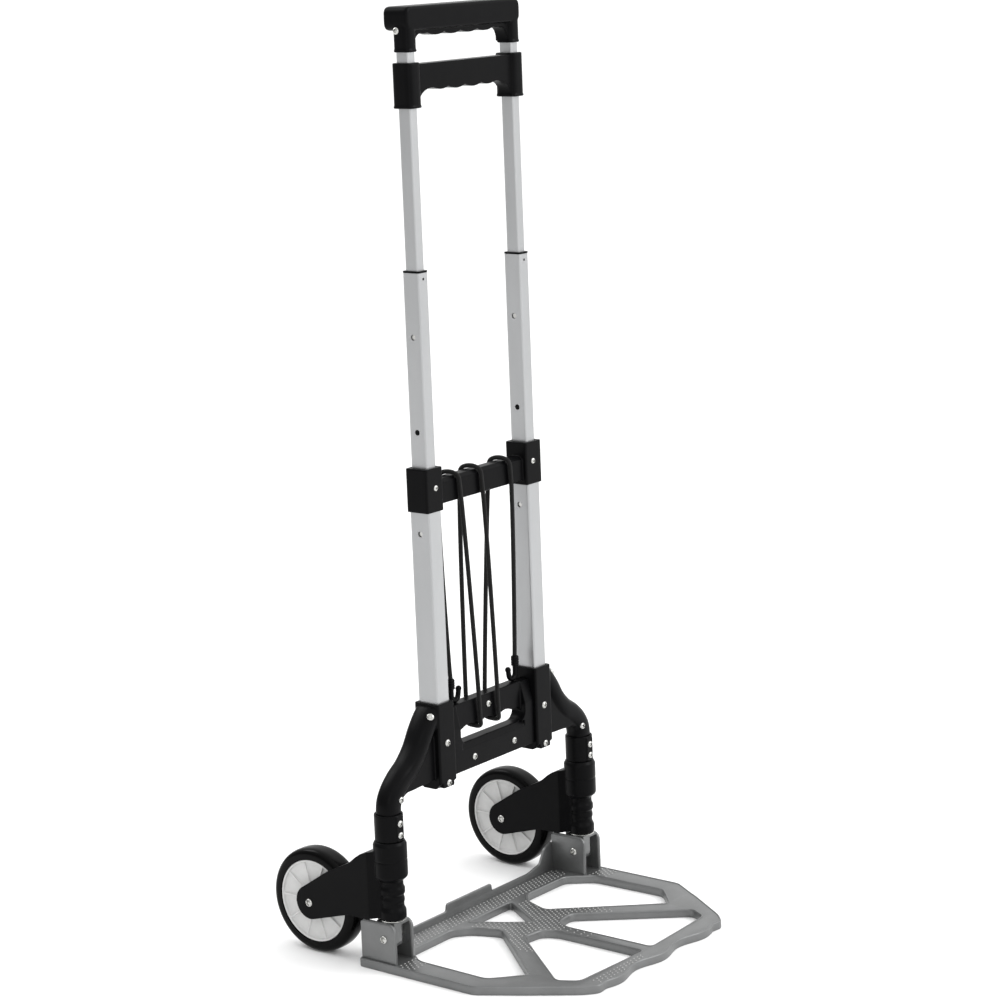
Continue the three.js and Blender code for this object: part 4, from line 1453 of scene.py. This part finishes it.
# ------------------------------------------------------------------ handle and release bar
@dataclass
class GripBar:
    """A bar between two tubes whose underside is scalloped for the fingers."""

    bench: Bench
    screws: ScrewBox
    name: str
    node: str
    body: str
    leg_half: float
    depth: Point2
    low: float
    under: float
    top: float
    socket: Point2
    socket_z: Point2
    tube_gap: float
    bore_top: float
    gusset: Point2 = (24.0, 15.0)
    corner: float = 8.0
    lobe_pitch: float = 30.0
    lobe_depth: float = 3.2
    tube_x: float = TUBE_X
    tube: Point2 = (13.0, 17.4)
    steps: int = 72

    def build(self) -> None:
        """Moulds the bar, its two sockets and the swelling where they meet."""
        legs = self.tube_x - self.leg_half
        wide, high = self.gusset
        reach = legs - wide
        span = [reach * (1 - 2 * i / self.steps) for i in range(self.steps + 1)]
        under = [(x, self.under - self._lobe(x, reach)) for x in span]
        bend = [(reach + wide * math.cos(a), self.under - high + high * math.sin(a))
                for a in (math.radians(d) for d in range(0, 90, 10))]
        line = [(-self.tube_x, self.low), (-legs, self.low), *[(-x, z) for x, z in bend], *reversed(under),
                *reversed(bend), (legs, self.low), (self.tube_x, self.low), (self.tube_x, self.top),
                (-self.tube_x, self.top)]
        bar = prism([line], Axis.Y, *self.depth)
        shells = [bar, *self.extra()]
        for side in Side:
            x = side.value * self.tube_x
            w, d = self.socket
            loop = rectangle((x - w / 2, x + w / 2), (-d / 2, d / 2), self.corner)
            shells.append(prism([loop], Axis.Z, *self.socket_z, 1.0))
            flare = rectangle((x - w / 2 - 0.5, x + w / 2 + 0.5), (-d / 2 - 0.5, d / 2 + 0.5), self.corner)
            shells.append(prism([flare], Axis.Z, self.socket_z[0], self.socket_z[0] + 3, 1.0))
        solid = self._bored(melted(shells, 0.8, 3, 0.3))
        self.bench.piece(solid, self.name, self.body, Finishes.MOULDED, "black_plastic", [self.node])

    def extra(self) -> list[bpy.types.Object]:
        """More solids that run into the same moulding."""
        return []

    def _lobe(self, x: float, reach: float) -> float:
        """How far a finger lobe hangs down at x, fading out towards the corners."""
        fade = max(0.0, 1 - (abs(x) / reach) ** 6)
        return self.lobe_depth * fade * abs(math.sin(math.pi * x / self.lobe_pitch)) ** 0.8

    def _bored(self, solid: bpy.types.Object) -> bpy.types.Object:
        """Opens the sockets for the tubes.

        Args:
            solid: the moulded bar.

        Returns:
            The bar with its sockets open.
        """
        for side in Side:
            x, g = side.value * self.tube_x, self.tube_gap
            loop = rectangle((x - self.tube[0] / 2 - g, x + self.tube[0] / 2 + g),
                             (-self.tube[1] / 2 - g, self.tube[1] / 2 + g), 2)
            solid = cut(solid, prism([loop], Axis.Z, self.socket_z[0] - 5, self.bore_top))
        return solid


@dataclass
class TopHandle(GripBar):
    """The handle at the very top, with a wide rounded head that overhangs at the back."""

    head_x: float = 103.0
    head_z: Point2 = (1072.0, 1099.0)
    head_back: float = 23.0

    def build(self) -> None:
        """Moulds the handle, and sets the screw in each leg's outer face."""
        super().build()
        for side in Side:
            at = (side.value * (self.tube_x + self.socket[0] / 2 + 0.1), 4.5, 1072.3)
            self.screws.place(f"handle_screw_{side.word}", self.body, at, (side.value, 0, 0), r=4.2, turn=15)

    def extra(self) -> list[bpy.types.Object]:
        """Shapes the rounded head.

        Returns:
            The head, as one solid.
        """
        line = rounded([(-self.head_x, self.head_z[0]), (self.head_x, self.head_z[0]),
                        (self.head_x, self.head_z[1]), (-self.head_x, self.head_z[1])], 9, 8)
        return [prism([line], Axis.Y, -self.socket[1] / 2, self.head_back, 3.0)]


# ------------------------------------------------------------------ bungee cord
@dataclass
class Bungee:
    """An elastic cord laced over the crossbar and under the grip, with a hook at each end."""

    bench: Bench
    r: float = 2.7
    over: float = 564.3
    under: float = 251.0
    bar_side: float = 13.5
    grip_front: float = -9.7
    grip_back: float = 12.7
    hook_y: float = 1.5
    hook_top: float = 318.0
    hook_x: dict[Side, float] = field(default_factory=lambda: {Side.LEFT: 53.5, Side.RIGHT: 57.0})
    hook_bend: float = 6.5
    hook_low: float = 290.2
    hook_r: float = 3.6
    hook_ball_r: float = 3.7
    crimp_r: float = 4.9
    crimp_groove_r: float = 4.2

    def build(self) -> None:
        """Lays the cord and its two hooks."""
        path = spline(self._route(), 8)
        length = sum((b - a).length for a, b in zip(path, path[1:]))
        LOG.info("the cord is %.0f mm long between its hooks", length)
        cord = sweep(path, lambda _: (self.r, self.r), 20)
        self.bench.piece(cord, "laced_cord", "frame", Finishes.CORD, "cord", ["bungee_cord"], crease=80)
        for side in Side:
            self._hook(side)

    def _over_bar(self, x: float) -> list[Point3]:
        """Lays the loop over the crossbar, from back to front.

        Args:
            x: the loop's middle.

        Returns:
            Its points.
        """
        s, top = self.bar_side, self.over
        return [(x - 4, s, 546), (x - 2.5, s - 1.5, top - 4), (x - 1, 5.5, top - 0.2), (x + 1, -5.5, top - 0.2),
                (x + 2.5, 1.5 - s, top - 4), (x + 4, -s, 546)]

    def _under_grip(self, x: float) -> list[Point3]:
        """Lays the loop under the grip, from front to back.

        Args:
            x: where it starts.

        Returns:
            Its points.
        """
        front, back, low = self.grip_front, self.grip_back, self.under
        return [(x, front, 263), (x + 0.5, front + 0.8, low + 2), (x + 1, 1.5, low), (x + 1.5, back - 0.8, low + 2),
                (x + 2, back, 263)]

    def _route(self) -> list[Point3]:
        """Lays out the cord's whole route, from one hook to the other.

        Returns:
            Its points.
        """
        y, top = self.hook_y, self.hook_top
        return [(-60, y, top + 0.3), (-60, y + 1, top + 14), *self._over_bar(-50), *self._under_grip(-21),
                *self._over_bar(-9), *self._under_grip(14), *self._over_bar(46), (63, y - 1, top + 14),
                (63.5, y, top + 0.3)]

    def _hook(self, side: Side) -> None:
        """Moulds a hook: a ribbed crimp above, a round bend and a ball at its tip.

        Args:
            side: which hook.
        """
        x, bend, y, low = self.hook_x[side], self.hook_bend, self.hook_y, self.hook_low
        points = [(x + bend, y, self.hook_top - 1), (x + bend, y, low + bend)]
        points += [(x + bend * math.cos(a), y, low + bend + bend * math.sin(a))
                   for a in (math.radians(d) for d in (-30, -60, -90, -120, -150))]
        points += [(x - bend, y, low + bend), (x - bend - 1, y, low + bend + 6)]
        body = sweep(spline(points, 4), lambda t: (self.hook_r - 0.5 * t, self.hook_r - 0.5 * t), 20)
        crimp_profile = [(0, self.hook_top - 13), (self.hook_r, self.hook_top - 13)]
        wide, narrow, ball = self.crimp_r, self.crimp_groove_r, self.hook_ball_r
        for i in range(4):
            z = self.hook_top - 12.4 + 3 * i
            crimp_profile += [(wide, z), (wide, z + 1.6), (narrow, z + 2), (narrow, z + 2.6)]
        crimp_profile += [(3.2, self.hook_top - 0.3), (0, self.hook_top - 0.3)]
        crimp = lathe(crimp_profile, Axis.Z, (x + bend, y), 32)
        tip = lathe([(0, -ball), *arc((0, 0), ball, -75, 75, 10), (0, ball)], Axis.Z, (x - bend - 1, y), 24)
        tip.data.transform(Matrix.Translation((0, 0, low + bend + 6)))
        solid = melted([body, crimp, tip], 0.45, 1, 0.5)
        self.bench.piece(solid, f"hook_{side.word}", "frame", Finishes.MOULDED, "black_plastic",
                         [f"bungee_hook_{side.word}"], side)


# ------------------------------------------------------------------ studio
@dataclass
class Studio:
    """A pale floor, soft lights and the camera."""

    origin: Vector
    target_height: float = 0.5032
    distance: float = 3.3352
    azimuth: float = -51.1225
    elevation: float = 11.9368
    roll: float = -2.3281
    lens: float = 101.897
    shift: Point2 = (0.02313, 0.01526)
    floor_half: float = 200.0

    def build(self) -> None:
        """Sets up the floor, the light and the camera."""
        self._camera()
        self._floor()
        self._sky()
        self._lamp("key", at=(1.4, -2.8, 2.2), size=1.6, watts=48)
        self._lamp("fill", at=(-2.4, -1.4, 1.4), size=1.2, watts=7)
        self._lamp("rim", at=(-0.6, 2.4, 2.6), size=1.4, watts=26)

    def _camera(self) -> None:
        """A long lens, so that the upright tubes stay nearly parallel."""
        data = bpy.data.cameras.new("camera")
        data.sensor_width = 36
        data.lens = self.lens
        data.shift_x, data.shift_y = self.shift
        camera = show(data, "camera")
        az, el, ro = (math.radians(a) for a in (self.azimuth, self.elevation, self.roll))
        back = Vector((math.sin(az) * math.cos(el), -math.cos(az) * math.cos(el), math.sin(el)))
        right = Vector((math.cos(az), math.sin(az), 0))
        up = back.cross(right)
        across = right * math.cos(ro) + up * math.sin(ro)
        upward = up * math.cos(ro) - right * math.sin(ro)
        at = Vector((self.origin.x, self.origin.y, self.target_height)) + back * self.distance
        turned = Matrix((across, upward, back)).transposed().to_4x4()
        camera.matrix_world = Matrix.Translation(at) @ turned
        bpy.context.scene.camera = camera

    def _floor(self) -> None:
        """A wide pale floor."""
        mesh = bpy.data.meshes.new("floor")
        half = self.floor_half
        mesh.from_pydata([(-half, -half, 0), (half, -half, 0), (half, half, 0), (-half, half, 0)], [], [(0, 1, 2, 3)])
        floor = show(mesh, "floor")
        # Painted studio floor: flat and pale, with a trace of roller grain.
        finish = Finish("pale_floor", "#f6f6f6", "#f2f2f2", metallic=0.0, roughness=0.7, roughness_spread=0.04,
                        drift=(400, 400, 400), grain=(4, 4, 4), grain_depth=0.01)
        mesh.materials.append(finish.make())

    def _sky(self) -> None:
        """A white surround that is brightest at the front right and falls off towards the back left."""
        world = bpy.data.worlds.new("surround")
        world.use_nodes = True
        tree = world.node_tree
        tree.nodes.clear()
        place = add_node(tree, "ShaderNodeTexCoord").outputs["Generated"]
        lit_from = {"operation": "DOT_PRODUCT", 1: (0.5, -0.42, 0.76)}
        facing = add_node(tree, "ShaderNodeVectorMath", lit_from, {0: place}).outputs["Value"]
        level = add_node(tree, "ShaderNodeMapRange", {1: -0.8, 2: 1.0, 3: 0.1, 4: 1.75}, {0: facing})
        settings = {"Color": linear("#ffffff")}
        light = add_node(tree, "ShaderNodeBackground", settings, {"Strength": level.outputs[0]})
        add_node(tree, "ShaderNodeOutputWorld", {}, {"Surface": light.outputs[0]})
        bpy.context.scene.world = world
        bpy.context.scene.view_settings.view_transform = "Standard"

    def _lamp(self, name: str, at: Point3, size: float, watts: float) -> None:
        """Hangs a large square lamp that faces the middle of the truck.

        Args:
            name: its name.
            at: its place, in metres.
            size: its side, in metres.
            watts: its power.
        """
        data = bpy.data.lights.new(name, "AREA")
        data.size = size
        data.energy = watts
        lamp = show(data, name)
        aim = Vector((0, 0, self.target_height)) - Vector(at)
        lamp.matrix_world = Matrix.Translation(at) @ aim.to_track_quat("-Z", "Y").to_matrix().to_4x4()


# ------------------------------------------------------------------ the whole truck
def main() -> None:
    """Loads the frame and builds every sub-assembly around it."""
    logging.basicConfig(level=logging.INFO, format="%(name)s: %(message)s")
    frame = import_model()
    low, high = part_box("column_tube_left")
    bench = Bench(Finishes(), Vector((0, (low.y + high.y) / 2, 0)))
    screws = ScrewBox(bench)
    Studio(bench.origin).build()
    Bungee(bench).build()
    TelescopicTubes(bench, frame["nodes"]).build()
    MiddleCrossbar(bench, screws).build()
    Shoulders(bench, screws).build()
    CarryingBridge(bench, screws).build()
    for side in Side:
        WheelColumn(bench, screws, side).build()
    ToePlate(bench, screws).build()
    GripBar(bench, screws, "release_grip", "release_bar", "release_bar", leg_half=11, depth=(-9, 9), low=992,
            under=1007, top=1034.8, socket=(22, 28.4), socket_z=(986.3, 1036.9), tube_gap=0.4, bore_top=1045).build()
    TopHandle(bench, screws, "handle", "top_handle", "inner_stage", leg_half=9.3, depth=(-6.0, 11.5), low=1051,
              under=1068, top=1090, socket=(18.6, 23.4), socket_z=(1048.4, 1080), tube_gap=0.3,
              bore_top=1088.3, gusset=(13, 14)).build()
    LOG.info("%d pieces", bench.count)


if __name__ == "__main__":
    main()
